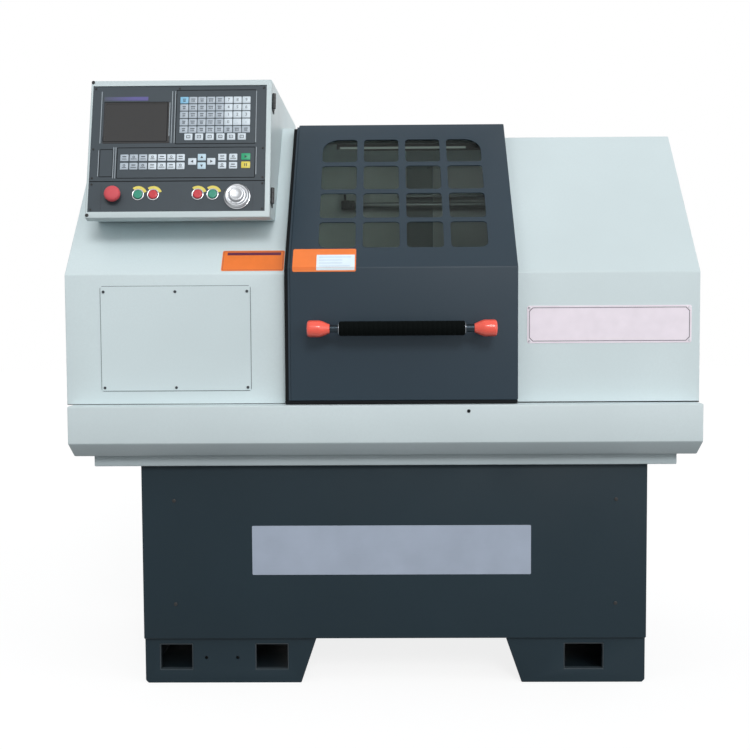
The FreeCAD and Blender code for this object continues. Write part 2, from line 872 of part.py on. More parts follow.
def pulley(radius, bore_radius, y, z):
    start = -s.pulley_left
    rim = radius + s.pulley_flange_rise
    drum = rod("X", radius, start, start + s.pulley_width, y, z)
    near = rod("X", rim, start, start + s.pulley_flange, y, z)
    far = rod("X", rim, start + s.pulley_width - s.pulley_flange, start + s.pulley_width, y, z)
    bore = rod("X", bore_radius, start - s.overrun, start + s.pulley_width + s.overrun, y, z)
    return less(joined(drum, near, far), bore)


node("spindle_pulley", pulley(s.spindle_pulley_radius, s.spindle_radius + s.seat_gap, spindle_y, spindle_z))

motor_y = s.motor_y
motor_z = s.motor_level
motor_start = -s.motor_left
motor_wheel = pulley(s.motor_pulley_radius, s.motor_shaft_radius - s.seat_gap, motor_y, motor_z)
motor_shaft = rod("X", s.motor_shaft_radius, -s.pulley_left - s.overrun,
                  motor_start + s.motor_shaft_depth - s.overrun, motor_y, motor_z)
node("motor_pulley", joined(motor_wheel, motor_shaft))

motor_can = rod("X", s.motor_radius, motor_start, motor_start + s.motor_length, motor_y, motor_z)
motor_foot = block(motor_start, motor_start + s.motor_length, motor_y - s.motor_foot_half_width,
                   motor_y + s.motor_foot_half_width, tray_floor, motor_z - s.motor_radius / 2)
motor_hole = rod("X", s.motor_shaft_radius + s.running_gap, motor_start - s.overrun,
                 motor_start + s.motor_shaft_depth, motor_y, motor_z)
node("spindle_motor", less(joined(motor_can, motor_foot), motor_hole))


def belt_loop(y1, z1, r1, y2, z2, r2, x):
    # the wire round two circles: two tangent lines and two arcs
    a = V(x, y1, z1)
    b = V(x, y2, z2)
    along = (b - a).normalize()
    across = V(0, -along.z, along.y)
    lean = math.asin((r1 - r2) / (b - a).Length)
    up = across * math.cos(lean) + along * math.sin(lean)
    down = across * -math.cos(lean) + along * math.sin(lean)
    edges = [Part.LineSegment(a + up * r1, b + up * r2).toShape(),
             Part.Arc(b + up * r2, b + along * r2, b + down * r2).toShape(),
             Part.LineSegment(b + down * r2, a + down * r1).toShape(),
             Part.Arc(a + down * r1, a - along * r1, a + up * r1).toShape()]
    return Part.Wire(edges)


belt_radii = [s.spindle_pulley_radius.value + s.belt_gap.value,
              s.motor_pulley_radius.value + s.belt_gap.value]
belt_x = -s.pulley_left.value + s.pulley_flange.value + s.belt_gap.value
belt_width = s.pulley_width.value - (s.pulley_flange.value + s.belt_gap.value) * 2
belt_faces = []
for rise in (0, s.belt_thickness.value):
    wire = belt_loop(spindle_y.value, spindle_z.value, belt_radii[0] + rise,
                     motor_y.value, motor_z.value, belt_radii[1] + rise, belt_x)
    belt_faces.append(Part.Face(wire).extrude(V(belt_width, 0, 0)))
belt = doc.addObject("Part::Feature", "Belt")
belt.Shape = belt_faces[1].cut(belt_faces[0])
node("drive_belt", belt)

# covers

cover_floor = s.tray_top
left_cover = new_body("left_cover_body")
cover_plan = sketch_on(left_cover, "YZ_Plane", -s.left_cover_outer)
polygon(cover_plan, cover_profile(zero, cover_floor, s.cover_back, s.left_cover_top))
pad(left_cover, cover_plan, s.left_cover_outer - s.left_cover_inner)
cover_room = sketch_on(left_cover, "YZ_Plane", -s.left_cover_outer + s.cover_sheet)
polygon(cover_room, cover_profile(-s.cover_sheet, cover_floor - s.overrun, s.cover_back - s.cover_sheet,
                                  s.left_cover_top))
pocket(left_cover, cover_room, s.left_cover_outer - s.left_cover_inner - s.cover_sheet * 2)
bar_hole = sketch_on(left_cover, "YZ_Plane", -s.left_cover_outer - s.overrun)
ring(bar_hole, spindle_y, spindle_z, s.bar_hole_radius)
pocket(left_cover, bar_hole, s.cover_sheet + s.overrun * 2)
nose_hole = sketch_on(left_cover, "YZ_Plane", -s.left_cover_inner - s.cover_sheet - s.overrun)
ring(nose_hole, spindle_y, spindle_z, s.nose_hole_radius)
pocket(left_cover, nose_hole, s.cover_sheet + s.overrun * 2)
bed_mouth = sketch_on(left_cover, "YZ_Plane", -s.left_cover_inner - s.cover_sheet - s.overrun)
rectangle(bed_mouth, bed_front - s.slide_gap, bed_back + s.slide_gap, cover_floor - s.overrun,
          s.bed_top + s.slide_gap)
pocket(left_cover, bed_mouth, s.cover_sheet + s.overrun * 2)
hatch = sketch_on(left_cover, "XZ_Plane", -s.cover_front - s.overrun)
rectangle(hatch, -s.access_left + s.access_lap, -s.access_right - s.access_lap,
          s.access_low + s.access_lap, s.access_high - s.access_lap)
pocket(left_cover, hatch, s.cover_sheet + s.overrun * 2)
node("left_cover", left_cover)

node("access_panel", block(-s.access_left, -s.access_right, -s.cover_front - s.access_sheet, -s.cover_front,
                           s.access_low, s.access_high))


def screw_head(x, y, z):
    return rod("Y", s.screw_radius, y - s.screw_head, y, x, z)


heads = []
for head_x in (-s.access_left + s.screw_inset, (-s.access_left - s.access_right) / 2,
               -s.access_right - s.screw_inset):
    for head_z in (s.access_low + s.screw_inset, s.access_high - s.top_screw_drop):
        heads.append(screw_head(head_x, -s.cover_front - s.access_sheet, head_z))
for head_x in (-s.cabinet_screw_left, s.cabinet_screw_right):
    for head_z in (s.cabinet_screw_low, s.cabinet_screw_high):
        heads.append(screw_head(head_x, -s.cabinet_half_depth, head_z))
node("panel_screws", group(*heads))

right_cover = new_body("right_cover_body")
right_plan = sketch_on(right_cover, "YZ_Plane", s.right_cover_inner)
polygon(right_plan, cover_profile(zero, cover_floor, s.cover_back))
pad(right_cover, right_plan, s.right_cover_outer - s.right_cover_inner)
right_room = sketch_on(right_cover, "YZ_Plane", s.right_cover_inner - s.overrun)
polygon(right_room, cover_profile(-s.cover_sheet, cover_floor - s.overrun, s.cover_back - s.cover_sheet))
pocket(right_cover, right_room, s.right_cover_outer - s.right_cover_inner - s.cover_sheet + s.overrun)
node("right_cover", right_cover)

rear_guard = new_body("rear_guard_body")
guard_plan = sketch_on(rear_guard, "YZ_Plane", -s.left_cover_inner)
guard_back = s.cover_back - s.cover_sheet
guard_under = s.cover_top - s.cover_sheet
polygon(guard_plan, [(guard_back, cover_floor), (s.cover_back, cover_floor), (s.cover_back, s.cover_top),
                     (-s.guard_lip_front, s.cover_top),
                     (-s.guard_lip_front, s.cover_top - s.guard_lip_height),
                     (-s.guard_lip_front + s.cover_sheet, s.cover_top - s.guard_lip_height),
                     (-s.guard_lip_front + s.cover_sheet, guard_under), (guard_back, guard_under)])
pad(rear_guard, guard_plan, s.left_cover_inner + s.right_cover_inner)
node("rear_guard", rear_guard)

lamp_start = -s.lamp_left
node("work_light", block(lamp_start, lamp_start + s.lamp_length, -s.lamp_front, s.lamp_width - s.lamp_front,
                         guard_under - s.lamp_height, guard_under))

# sliding door

node("door_rail", block(-s.left_cover_inner, s.right_cover_outer - s.rail_end_gap, -s.rail_half_width,
                        s.rail_half_width, s.cover_top, s.cover_top + s.rail_height))

door = new_body("door_shell")
door_plan = sketch_on(door, "YZ_Plane", -s.door_left)
polygon(door_plan, cover_profile(s.door_proud, s.door_bottom, s.door_back))
pad(door, door_plan, s.door_left + s.door_right)
door_room = sketch_on(door, "YZ_Plane", -s.door_left + s.door_sheet)
polygon(door_room, cover_profile(s.door_proud - s.door_sheet, s.door_bottom + s.door_sheet,
                                 s.door_back - s.door_sheet))
pocket(door, door_room, s.door_left + s.door_right - s.door_sheet * 2)
door_gap = sketch_on(door, "YZ_Plane", -s.door_left - s.overrun)
polygon(door_gap, cover_profile(s.door_clearance, s.door_bottom - s.overrun, s.door_back + s.overrun))
pocket(door, door_gap, s.door_left + s.door_right + s.overrun * 2)

door_knee_y, door_knee_z = knee_point(s.door_proud)


def on_door_slope(thing, x, along, out):
    # places a piece drawn flat: its X is X, its Y runs up the slope and its Z points out of it
    thing.Placement = FreeCAD.Placement(V(0, 0, 0), FreeCAD.Rotation(V(1, 0, 0), 90))
    bind(thing, "Placement.Rotation.Angle", 90 - slope)
    y = door_knee_y + as_size(along) * sine(slope) - as_size(out) * cosine(slope)
    z = door_knee_z + as_size(along) * cosine(slope) + as_size(out) * sine(slope)
    return place(thing, x, y, z)


window_width = s.window_pitch_x * (window_columns - 1) + s.window_hole_width
window_height = s.window_pitch_v * (window_rows - 1) + s.window_hole_height
window_left = (s.door_right - s.door_left) / 2 - window_width / 2
cut_depth = s.door_sheet + s.overrun * 2


def upright(edge):
    box = edge.BoundBox
    return box.XLength < s.seat_gap.value and box.YLength < s.seat_gap.value


grid = new_body("window_grid")
column = sketch_on(grid, "XY_Plane", zero)
for index in range(window_rows):
    low = s.window_pitch_v * index
    rectangle(column, zero, s.window_hole_width, low, low + s.window_hole_height)
column_pad = pad(grid, column, cut_depth)
doc.recompute()
columns = grid.newObject("PartDesign::LinearPattern", "Columns")
columns.Originals = [column_pad]
columns.Direction = (column, ["H_Axis"])
bind(columns, "Length", s.window_pitch_x * (window_columns - 1))
columns.Occurrences = window_columns
grid.Tip = columns
doc.recompute()
grid_round = grid.newObject("PartDesign::Fillet", "HoleCorners")
grid_round.Base = (columns, edges_where(columns, upright))
bind(grid_round, "Radius", s.window_hole_radius)

frame_body = new_body("window_outline")
frame_plan = sketch_on(frame_body, "XY_Plane", zero)
rectangle(frame_plan, zero, window_width, zero, window_height)
frame_pad = pad(frame_body, frame_plan, cut_depth)
doc.recompute()
window_middle = window_height.value / 2
frame_top = frame_body.newObject("PartDesign::Fillet", "TopCorners")
frame_top.Base = (frame_pad, edges_where(
    frame_pad, lambda edge: upright(edge) and edge.BoundBox.YMin > window_middle))
bind(frame_top, "Radius", s.window_top_radius)
doc.recompute()
frame_low = frame_body.newObject("PartDesign::Fillet", "BottomCorners")
frame_low.Base = (frame_top, edges_where(
    frame_top, lambda edge: upright(edge) and edge.BoundBox.YMax < s.window_bottom_radius.value))
bind(frame_low, "Radius", s.window_bottom_radius)

window_tool = doc.addObject("Part::MultiCommon", "WindowTool")
window_tool.Shapes = [grid, frame_body]
on_door_slope(window_tool, window_left, s.window_low, -s.door_sheet - s.overrun)
node("door_panel", less(door, window_tool))

pane = doc.addObject("Part::Box", "Pane")
bind(pane, "Length", window_width + s.window_lap * 2)
bind(pane, "Width", window_height + s.window_lap * 2)
bind(pane, "Height", s.pane_thickness)
node("window_pane", on_door_slope(pane, window_left - s.window_lap, s.window_low - s.window_lap,
                                  -s.door_sheet - s.pane_thickness))


def glide(x):
    under = s.cover_top + s.door_proud - s.door_sheet
    low = s.cover_top + s.rail_height / 2
    shoe = block(x, x + s.glide_length, -s.glide_half_width, s.glide_half_width, low, under)
    groove = block(x - s.overrun, x + s.glide_length + s.overrun, -s.rail_half_width - s.slide_gap,
                   s.rail_half_width + s.slide_gap, low - s.overrun,
                   s.cover_top + s.rail_height + s.slide_gap)
    return less(shoe, groove)


node("door_glides", group(glide(-s.door_left + s.glide_inset),
                          glide(s.door_right - s.glide_inset - s.glide_length)))

# door handle: a tube between two end brackets, with a soft sleeve

door_face = -s.cover_front - s.door_proud
handle_y = door_face - s.handle_stand_off
handle_z = s.handle_level
node("door_handle", rod("X", s.handle_tube_radius, -s.handle_left, s.handle_right, handle_y, handle_z))
sleeve = rod("X", s.grip_radius, -s.handle_left + s.grip_gap, s.handle_right - s.grip_gap, handle_y, handle_z)
sleeve_bore = rod("X", s.handle_tube_radius + s.seat_gap, -s.handle_left, s.handle_right, handle_y, handle_z)
node("handle_grip", less(sleeve, sleeve_bore))


def handle_end(x, side):
    # side is -1 for the left bracket and 1 for the right one; x is the face that holds the tube
    def span(near, far):
        a = x + side * near
        b = x + side * far
        return (a, b) if side > 0 else (b, a)

    collar = s.handle_end_collar
    body_end = collar + s.handle_end_body
    start, end = span(zero, collar)
    small = s.handle_post_radius
    big = s.handle_end_radius
    radii = (small, big) if side > 0 else (big, small)
    point = cone("X", radii[0], radii[1], start, end, handle_y, handle_z)
    start, end = span(collar, body_end)
    barrel = rod("X", big, start, end, handle_y, handle_z)
    start, end = span(body_end, body_end + s.handle_end_nose)
    nose = cone("X", radii[1], radii[0], start, end, handle_y, handle_z)
    centre = x + side * (collar + s.handle_end_body / 2)
    post = rod("Y", s.handle_post_radius, handle_y, door_face, centre, handle_z)
    return joined(point, barrel, nose, post)


node("handle_ends", group(handle_end(-s.handle_left, -1), handle_end(s.handle_right, 1)))

# control box and its hinged lid

tilt = s.box_tilt_angle
box_right = -s.left_cover_inner - s.box_inset
lid_left = box_right - s.box_width


def on_width(share):
    # a place or width on the lid, from its share of the lid's width
    return s.box_width * share


def face_y(level, depth):
    # Y of the plane that lies depth behind the lid's face, at a height
    rise = as_size(level) - s.box_bottom
    return -s.box_face_front + rise * tangent(tilt) + as_size(depth) / cosine(tilt)


def box_profile(inset, front_depth):
    inset = as_size(inset)
    low = s.box_bottom + inset
    high = s.box_top - inset
    back = s.box_back - inset
    floor = s.left_cover_top + inset
    return [(face_y(low, front_depth), low), (face_y(high, front_depth), high), (back, high), (back, floor),
            (slope_y(floor, inset), floor), (slope_y(low, inset), low)]


control_box = new_body("control_box_body")
box_plan = sketch_on(control_box, "YZ_Plane", lid_left)
polygon(box_plan, box_profile(zero, s.lid_depth + s.lid_gap))
pad(control_box, box_plan, s.box_width)
box_room = sketch_on(control_box, "YZ_Plane", lid_left + s.box_sheet)
polygon(box_room, box_profile(s.box_sheet, s.lid_depth - s.overrun))
pocket(control_box, box_room, s.box_width - s.box_sheet * 2)
node("control_box", control_box)


def on_lid(thing):
    # a piece drawn flat: X along the lid, Y up its face, Z out of it, from the lower left corner
    thing.Placement = FreeCAD.Placement(V(0, 0, 0), FreeCAD.Rotation(V(1, 0, 0), 90))
    bind(thing, "Placement.Rotation.Angle", 90 - tilt)
    return place(thing, lid_left, -s.box_face_front, s.box_bottom)


hinge_x = s.box_width + s.hinge_axis_out
hinge_z = -s.lid_depth / 2
knuckle = s.hinge_length / 3


def fixed_knuckles(low):
    parts = [rod("Y", s.hinge_pin_radius, low, low + s.hinge_length, hinge_x, hinge_z)]
    leaf_x = s.box_width + s.slide_gap
    for start in (low, low + knuckle * 2 + s.slide_gap):
        end = start + knuckle - s.slide_gap
        parts.append(rod("Y", s.hinge_radius, start, end, hinge_x, hinge_z))
        parts.append(block(leaf_x, leaf_x + s.hinge_leaf, start, end, hinge_z - s.hinge_leaf_reach, hinge_z))
    return joined(*parts)


node("lid_hinges", on_lid(group(fixed_knuckles(s.hinge_low), fixed_knuckles(s.hinge_high))))


def moving_knuckle(low):
    start = low + knuckle + s.slide_gap
    end = low + knuckle * 2 - s.slide_gap
    barrel = rod("Y", s.hinge_radius, start, end, hinge_x, hinge_z)
    bridge = block(s.box_width - s.lid_sheet, hinge_x, start, end,
                   hinge_z - s.hinge_bridge / 2, hinge_z + s.hinge_bridge / 2)
    hole = rod("Y", s.hinge_pin_radius + s.running_gap, start - s.overrun, end + s.overrun, hinge_x, hinge_z)
    return less(joined(barrel, bridge), hole)


lid_blank = block(zero, s.box_width, zero, s.lid_length, -s.lid_depth, zero)
lid_room = block(s.lid_sheet, s.box_width - s.lid_sheet, s.lid_sheet, s.lid_length - s.lid_sheet,
                 -s.lid_depth - s.overrun, -s.lid_sheet)
panel_start = on_width(s.panel_left_share)
panel_end = panel_start + on_width(s.panel_width_share)
panel_high = s.panel_low + s.panel_height
lid_mouth = block(panel_start, panel_end, s.panel_low, panel_high, -s.lid_sheet - s.overrun, s.overrun)
lid_frame = joined(less(lid_blank, lid_room, lid_mouth), moving_knuckle(s.hinge_low),
                   moving_knuckle(s.hinge_high))
node("control_lid", on_lid(lid_frame))

panel_front = -s.lid_sheet
panel_back = panel_front - s.panel_thickness
button_shares = (s.button_one_x_share, s.button_two_x_share, s.button_three_x_share, s.button_four_x_share)
button_places = [(on_width(share), s.button_v) for share in button_shares]
stop_place = (on_width(s.stop_x_share), s.stop_v)
wheel_place = (on_width(s.wheel_x_share), s.wheel_v)
panel_blank = block(panel_start - s.panel_lap, panel_end + s.panel_lap, s.panel_low - s.panel_lap,
                    panel_high + s.panel_lap, panel_back, panel_front)
screen_start = on_width(s.screen_left_share)
screen_end = screen_start + on_width(s.screen_width_share)
screen_high = s.screen_low + s.screen_height
screen_hole = block(screen_start, screen_end, s.screen_low, screen_high, panel_back - s.overrun,
                    panel_front + s.overrun)
neck_holes = []
for x, v in button_places + [stop_place, wheel_place]:
    neck_holes.append(rod("Z", s.bezel_neck_radius + s.seat_gap, panel_back - s.overrun,
                          panel_front + s.overrun, x, v))
node("operator_panel", on_lid(less(panel_blank, screen_hole, *neck_holes)))

screen_glass = block(screen_start + s.seat_gap, screen_end - s.seat_gap, s.screen_low + s.seat_gap,
                     screen_high - s.seat_gap, panel_back - s.screen_depth / 2, panel_front - s.screen_recess)
screen_case = block(screen_start - s.screen_lap, screen_end + s.screen_lap, s.screen_low - s.screen_lap,
                    screen_high + s.screen_lap, panel_back - s.screen_depth, panel_back)
node("display", on_lid(joined(screen_glass, screen_case)))


key_width = on_width(s.key_width_share)


def key(left, top, width=key_width, length=s.key_length):
    return block(left, left + width, top - length, top, panel_front, panel_front + s.key_height)


def key_field(columns, rows, left_share, pitch_share, top, pitch_v):
    # rows of keys, the first key of the top row first
    found = []
    for row in range(rows):
        for column_index in range(columns):
            found.append(key(on_width(left_share + pitch_share * column_index), top - pitch_v * row))
    return found


keys = key_field(columns=8, rows=5, left_share=s.pad_left_share, pitch_share=s.pad_pitch_x_share,
                  top=s.pad_top, pitch_v=s.pad_pitch_v)
keys += key_field(columns=6, rows=1, left_share=s.pad_last_left_share, pitch_share=s.pad_last_pitch_share,
                  top=s.pad_last_top, pitch_v=zero)
keys += key_field(columns=7, rows=2, left_share=s.mode_left_share, pitch_share=s.mode_pitch_x_share,
                  top=s.mode_top, pitch_v=s.mode_pitch_v)
keys += key_field(columns=2, rows=2, left_share=s.spare_left_share, pitch_share=s.spare_pitch_x_share,
                  top=s.spare_top, pitch_v=s.spare_pitch_v)
for way_x, way_v in ((-1, 0), (1, 0), (0, -1), (0, 1)):
    keys.append(key(on_width(s.jog_centre_x_share + s.jog_reach_x_share * way_x) - key_width / 2,
                    s.jog_centre_v + s.key_length / 2 + s.jog_reach_v * way_v))
for low in (s.cycle_start_low, s.cycle_hold_low):
    keys.append(key(on_width(s.cycle_left_share), low + s.cycle_length, on_width(s.cycle_width_share),
                    s.cycle_length))
node("panel_keys", on_lid(group(*keys)))


def bezel(place_on_lid, rim_radius, rim_height):
    # a rim on the panel, a neck through it and a blind bore for the moving part
    x, v = place_on_lid
    rim = rod("Z", rim_radius, panel_front, panel_front + rim_height, x, v)
    neck = rod("Z", s.bezel_neck_radius, panel_front - s.bezel_neck_depth, panel_front, x, v)
    bore = rod("Z", s.button_radius + s.button_gap, panel_front - s.bezel_neck_depth + s.bezel_floor,
               panel_front + rim_height + s.overrun, x, v)
    return less(joined(rim, neck), bore)


bezels = [bezel(spot, s.bezel_radius, s.bezel_height) for spot in button_places]
bezels.append(bezel(stop_place, s.bezel_radius, s.bezel_height))
bezels.append(bezel(wheel_place, s.wheel_base_radius, s.wheel_base_height))
node("button_bezels", on_lid(group(*bezels)))

button_names = ("left_green_button", "left_red_button", "right_red_button", "right_green_button")
bezel_top = panel_front + s.bezel_height
for name, (x, v) in zip(button_names, button_places):
    node(name, on_lid(group(rod("Z", s.button_radius, panel_front - s.button_inner,
                                bezel_top + s.button_proud, x, v))))

stop_stem = rod("Z", s.button_radius, panel_front - s.button_inner, bezel_top + s.stop_head_low, *stop_place)
stop_head = rod("Z", s.stop_head_radius, bezel_top + s.stop_head_low,
                bezel_top + s.stop_head_low + s.stop_head_height - s.stop_head_round, *stop_place)
stop_crown = cone("Z", s.stop_head_radius, s.stop_head_radius - s.stop_head_round,
                  bezel_top + s.stop_head_low + s.stop_head_height - s.stop_head_round,
                  bezel_top + s.stop_head_low + s.stop_head_height, *stop_place)
node("emergency_stop", on_lid(joined(stop_stem, stop_head, stop_crown)))

wheel_low = panel_front + s.wheel_base_height + s.slide_gap
wheel_disc = rod("Z", s.wheel_radius, wheel_low, wheel_low + s.wheel_height, *wheel_place)
wheel_top = wheel_low + s.wheel_height
wheel_hub = rod("Z", s.wheel_hub_radius, wheel_low, wheel_top + s.wheel_hub_height, *wheel_place)
wheel_stem = rod("Z", s.wheel_stem_radius, panel_front - s.button_inner, wheel_top, *wheel_place)
node("pulse_handwheel", on_lid(joined(wheel_disc, wheel_hub, wheel_stem)))

# carriage: saddle, cross slide, tool turret and the two feed screws

saddle_left = s.saddle_x - s.saddle_half_length
saddle_right = s.saddle_x + s.saddle_half_length
saddle_low = s.bed_top + s.slide_gap
saddle_top = saddle_low + s.saddle_height
x_screw_z = saddle_top - s.x_screw_drop
saddle_plate = block(saddle_left, saddle_right, -s.saddle_front, s.saddle_back, saddle_low, saddle_top)
saddle_lip = block(saddle_left, saddle_right, -s.saddle_front, bed_front - s.saddle_lip_gap,
                   saddle_low - s.saddle_lip_depth, saddle_top)
z_nut = block(s.saddle_x - s.z_nut_half_length, s.saddle_x + s.z_nut_half_length, s.z_nut_front,
              s.saddle_back, s.z_screw_level - s.z_nut_half_height, saddle_top)
x_channel = block(s.saddle_x - s.x_channel_half_width, s.saddle_x + s.x_channel_half_width,
                  -s.saddle_front + s.x_channel_wall, s.saddle_back - s.x_channel_wall,
                  saddle_top - s.x_channel_depth, saddle_top + s.overrun)
x_bore = rod("Y", s.x_screw_radius + s.running_gap, -s.saddle_front + s.x_channel_wall / 2,
             s.saddle_back + s.overrun, s.saddle_x, x_screw_z)
z_bore = rod("X", s.z_screw_radius + s.running_gap, saddle_left, saddle_right, s.z_screw_y, s.z_screw_level)
node("saddle", less(joined(saddle_plate, saddle_lip, z_nut), x_channel, x_bore, z_bore))

node("x_screw", rod("Y", s.x_screw_radius, -s.saddle_front + s.x_channel_wall / 2 + s.slide_gap,
                    s.saddle_back - s.slide_gap, s.saddle_x, x_screw_z))
node("x_servo_motor", block(s.saddle_x - s.x_motor_half_width, s.saddle_x + s.x_motor_half_width,
                            s.saddle_back, s.saddle_back + s.x_motor_length,
                            x_screw_z - s.x_motor_half_width, x_screw_z + s.x_motor_half_width))

cross_low = saddle_top + s.slide_gap
cross_top = cross_low + s.cross_height
cross_plate = block(s.saddle_x - s.cross_half_width, s.saddle_x + s.cross_half_width, -s.cross_front,
                    -s.cross_back, cross_low, cross_top)
cross_nut = block(s.saddle_x - s.cross_nut_half_width, s.saddle_x + s.cross_nut_half_width,
                  -s.cross_nut_y - s.cross_nut_half_length, -s.cross_nut_y + s.cross_nut_half_length,
                  x_screw_z - s.cross_nut_half_width, cross_low)
cross_bore = rod("Y", s.x_screw_radius + s.running_gap, -s.cross_nut_y - s.cross_nut_half_length - s.overrun,
                 -s.cross_nut_y + s.cross_nut_half_length + s.overrun, s.saddle_x, x_screw_z)
turret_y = -s.turret_y
turret_base = block(s.saddle_x - s.turret_base_half_width, s.saddle_x + s.turret_base_half_width,
                    turret_y - s.turret_base_half_width, turret_y + s.turret_base_half_width,
                    cross_top, cross_top + s.turret_base_height)
node("cross_slide", joined(cross_plate, less(cross_nut, cross_bore), turret_base))

turret_low = cross_top + s.turret_base_height + s.slide_gap
turret_top = turret_low + s.turret_head_height
tool_angles = (0, 90, 180, 270)


def turned_about_turret(thing, angle):
    # a piece drawn with the turret's axis as its Z axis
    thing.Placement = FreeCAD.Placement(V(0, 0, 0), FreeCAD.Rotation(V(0, 0, 1), angle))
    return place(thing, s.saddle_x, turret_y, zero)


def tool_space(gap, reach):
    # a square shank along the side of the turret; its top is level with the spindle axis
    gap = as_size(gap)
    return block(s.tool_inner - gap, s.tool_inner + s.tool_side + reach, -s.tool_tail - gap, s.tool_reach,
                 spindle_z - s.tool_side - gap, spindle_z + gap)


turret_head = rod("Z", s.turret_cap_radius, turret_top - s.overrun, turret_top + s.turret_cap_height,
                  zero, zero)
turret_square = block(-s.turret_half_width, s.turret_half_width, -s.turret_half_width, s.turret_half_width,
                      turret_low, turret_top)
tool_slots = []
for angle in tool_angles:
    slot = group(tool_space(s.tool_slot_gap, s.overrun))
    slot.Placement = FreeCAD.Placement(V(0, 0, 0), FreeCAD.Rotation(V(0, 0, 1), angle))
    tool_slots.append(slot)
node("tool_turret", turned_about_turret(less(joined(turret_head, turret_square), *tool_slots), 0))

tools = []
for angle in tool_angles:
    tools.append(turned_about_turret(group(tool_space(zero, zero)), angle))
node("turning_tools", group(*tools))

z_screw_start = -s.bracket_left
z_screw_end = s.bracket_right + s.bracket_length
node("z_screw", rod("X", s.z_screw_radius, z_screw_start, z_screw_end - s.slide_gap, s.z_screw_y,
                    s.z_screw_level))


def screw_bracket(x):
    body = block(x, x + s.bracket_length, bed_back, s.bracket_back, s.z_screw_level - s.bracket_half_height,
                 s.z_screw_level + s.bracket_half_height)
    hole = rod("X", s.z_screw_radius + s.running_gap, x - s.overrun, x + s.bracket_length + s.overrun,
               s.z_screw_y, s.z_screw_level)
    return less(body, hole)


node("screw_brackets", group(screw_bracket(z_screw_start), screw_bracket(s.bracket_right)))
node("z_servo_motor", block(z_screw_end, z_screw_end + s.z_motor_length,
                            s.z_screw_y - s.z_motor_half_width, s.z_screw_y + s.z_motor_half_width,
                            s.z_screw_level - s.z_motor_half_width, s.z_screw_level + s.z_motor_half_width))

# tailstock

tail_right = s.tail_left + s.tail_length
tail_low = s.bed_top + s.slide_gap
tail_foot_top = tail_low + s.tail_foot_height
tail_foot = block(s.tail_left, tail_right, spindle_y - s.tail_foot_half_width,
                  spindle_y + s.tail_foot_half_width, tail_low, tail_foot_top)
tail_column = block(s.tail_left, tail_right, spindle_y - s.tail_column_half_width,
                    spindle_y + s.tail_column_half_width, tail_foot_top, spindle_z)
tail_barrel = rod("X", s.tail_barrel_radius, s.tail_left, tail_right, spindle_y, spindle_z)
quill_rear = s.quill_nose + s.quill_length
quill_bore = rod("X", s.quill_radius + s.running_gap, s.tail_left - s.overrun, quill_rear + s.slide_gap,
                 spindle_y, spindle_z)
wheel_bore = rod("X", s.tail_wheel_shaft + s.running_gap, quill_rear, tail_right + s.overrun,
                 spindle_y, spindle_z)
node("tailstock_body", less(joined(tail_foot, tail_column, tail_barrel), quill_bore, wheel_bore))

quill_tube = rod("X", s.quill_radius, s.quill_nose, quill_rear, spindle_y, spindle_z)
quill_centre = cone("X", s.centre_tip_radius, s.centre_radius, s.quill_nose - s.centre_length, s.quill_nose,
                    spindle_y, spindle_z)
node("tailstock_quill", joined(quill_tube, quill_centre))

tail_wheel_start = tail_right + s.tail_wheel_gap
tail_wheel = rod("X", s.tail_wheel_radius, tail_wheel_start, tail_wheel_start + s.tail_wheel_width,
                 spindle_y, spindle_z)
tail_hub = rod("X", s.tail_wheel_hub, tail_right + s.slide_gap, tail_wheel_start + s.tail_wheel_width * 2,
               spindle_y, spindle_z)
tail_shaft = rod("X", s.tail_wheel_shaft, quill_rear + s.slide_gap * 2, tail_wheel_start, spindle_y,
                 spindle_z)
wheel_windows = []
for side_y, side_z in ((1, 0), (-1, 0), (0, 1), (0, -1)):
    middle = (s.tail_wheel_radius + s.tail_wheel_hub) / 2
    wheel_windows.append(rod("X", s.tail_wheel_hole, tail_wheel_start - s.overrun,
                             tail_wheel_start + s.tail_wheel_width + s.overrun,
                             spindle_y + middle * side_y, spindle_z + middle * side_z))
node("tailstock_handwheel", joined(less(tail_wheel, *wheel_windows), tail_hub, tail_shaft))

# coolant and electrics

tank_floor = s.foot_height + s.cabinet_sheet
tank_top = tank_floor + s.tank_height
tank_shell = block(-s.tank_left, s.tank_right, -s.tank_half_depth, s.tank_half_depth, tank_floor, tank_top)
room_left = -s.tank_left + s.tank_sheet
room_half_depth = s.tank_half_depth - s.tank_sheet
room_top = tank_top - s.tank_sheet
tank_room = block(room_left, s.tank_right - s.tank_sheet, -room_half_depth, room_half_depth,
                  tank_floor + s.tank_sheet, room_top)
tank_mouth = block(room_left, s.tank_right - s.tank_deck, -room_half_depth, room_half_depth,
                   room_top - s.overrun, tank_top + s.overrun)
pump_hole = rod("Z", s.pump_pipe_radius + s.slide_gap, tank_top - s.tank_sheet - s.overrun,
                tank_top + s.overrun, s.pump_x, zero)
node("coolant_tank", less(tank_shell, tank_room, tank_mouth, pump_hole))
pump_body = rod("Z", s.pump_radius, tank_top, tank_top + s.pump_height, s.pump_x, zero)
pump_pipe = rod("Z", s.pump_pipe_radius, tank_top - s.pump_pipe_length, tank_top, s.pump_x, zero)
node("coolant_pump", joined(pump_body, pump_pipe))

drive_low = s.left_cover_top + s.box_sheet
drive_left = lid_left + s.drive_inset
node("drive_unit", block(drive_left, drive_left + s.drive_width, s.drive_front,
                         s.drive_front + s.drive_depth, drive_low, drive_low + s.drive_height))

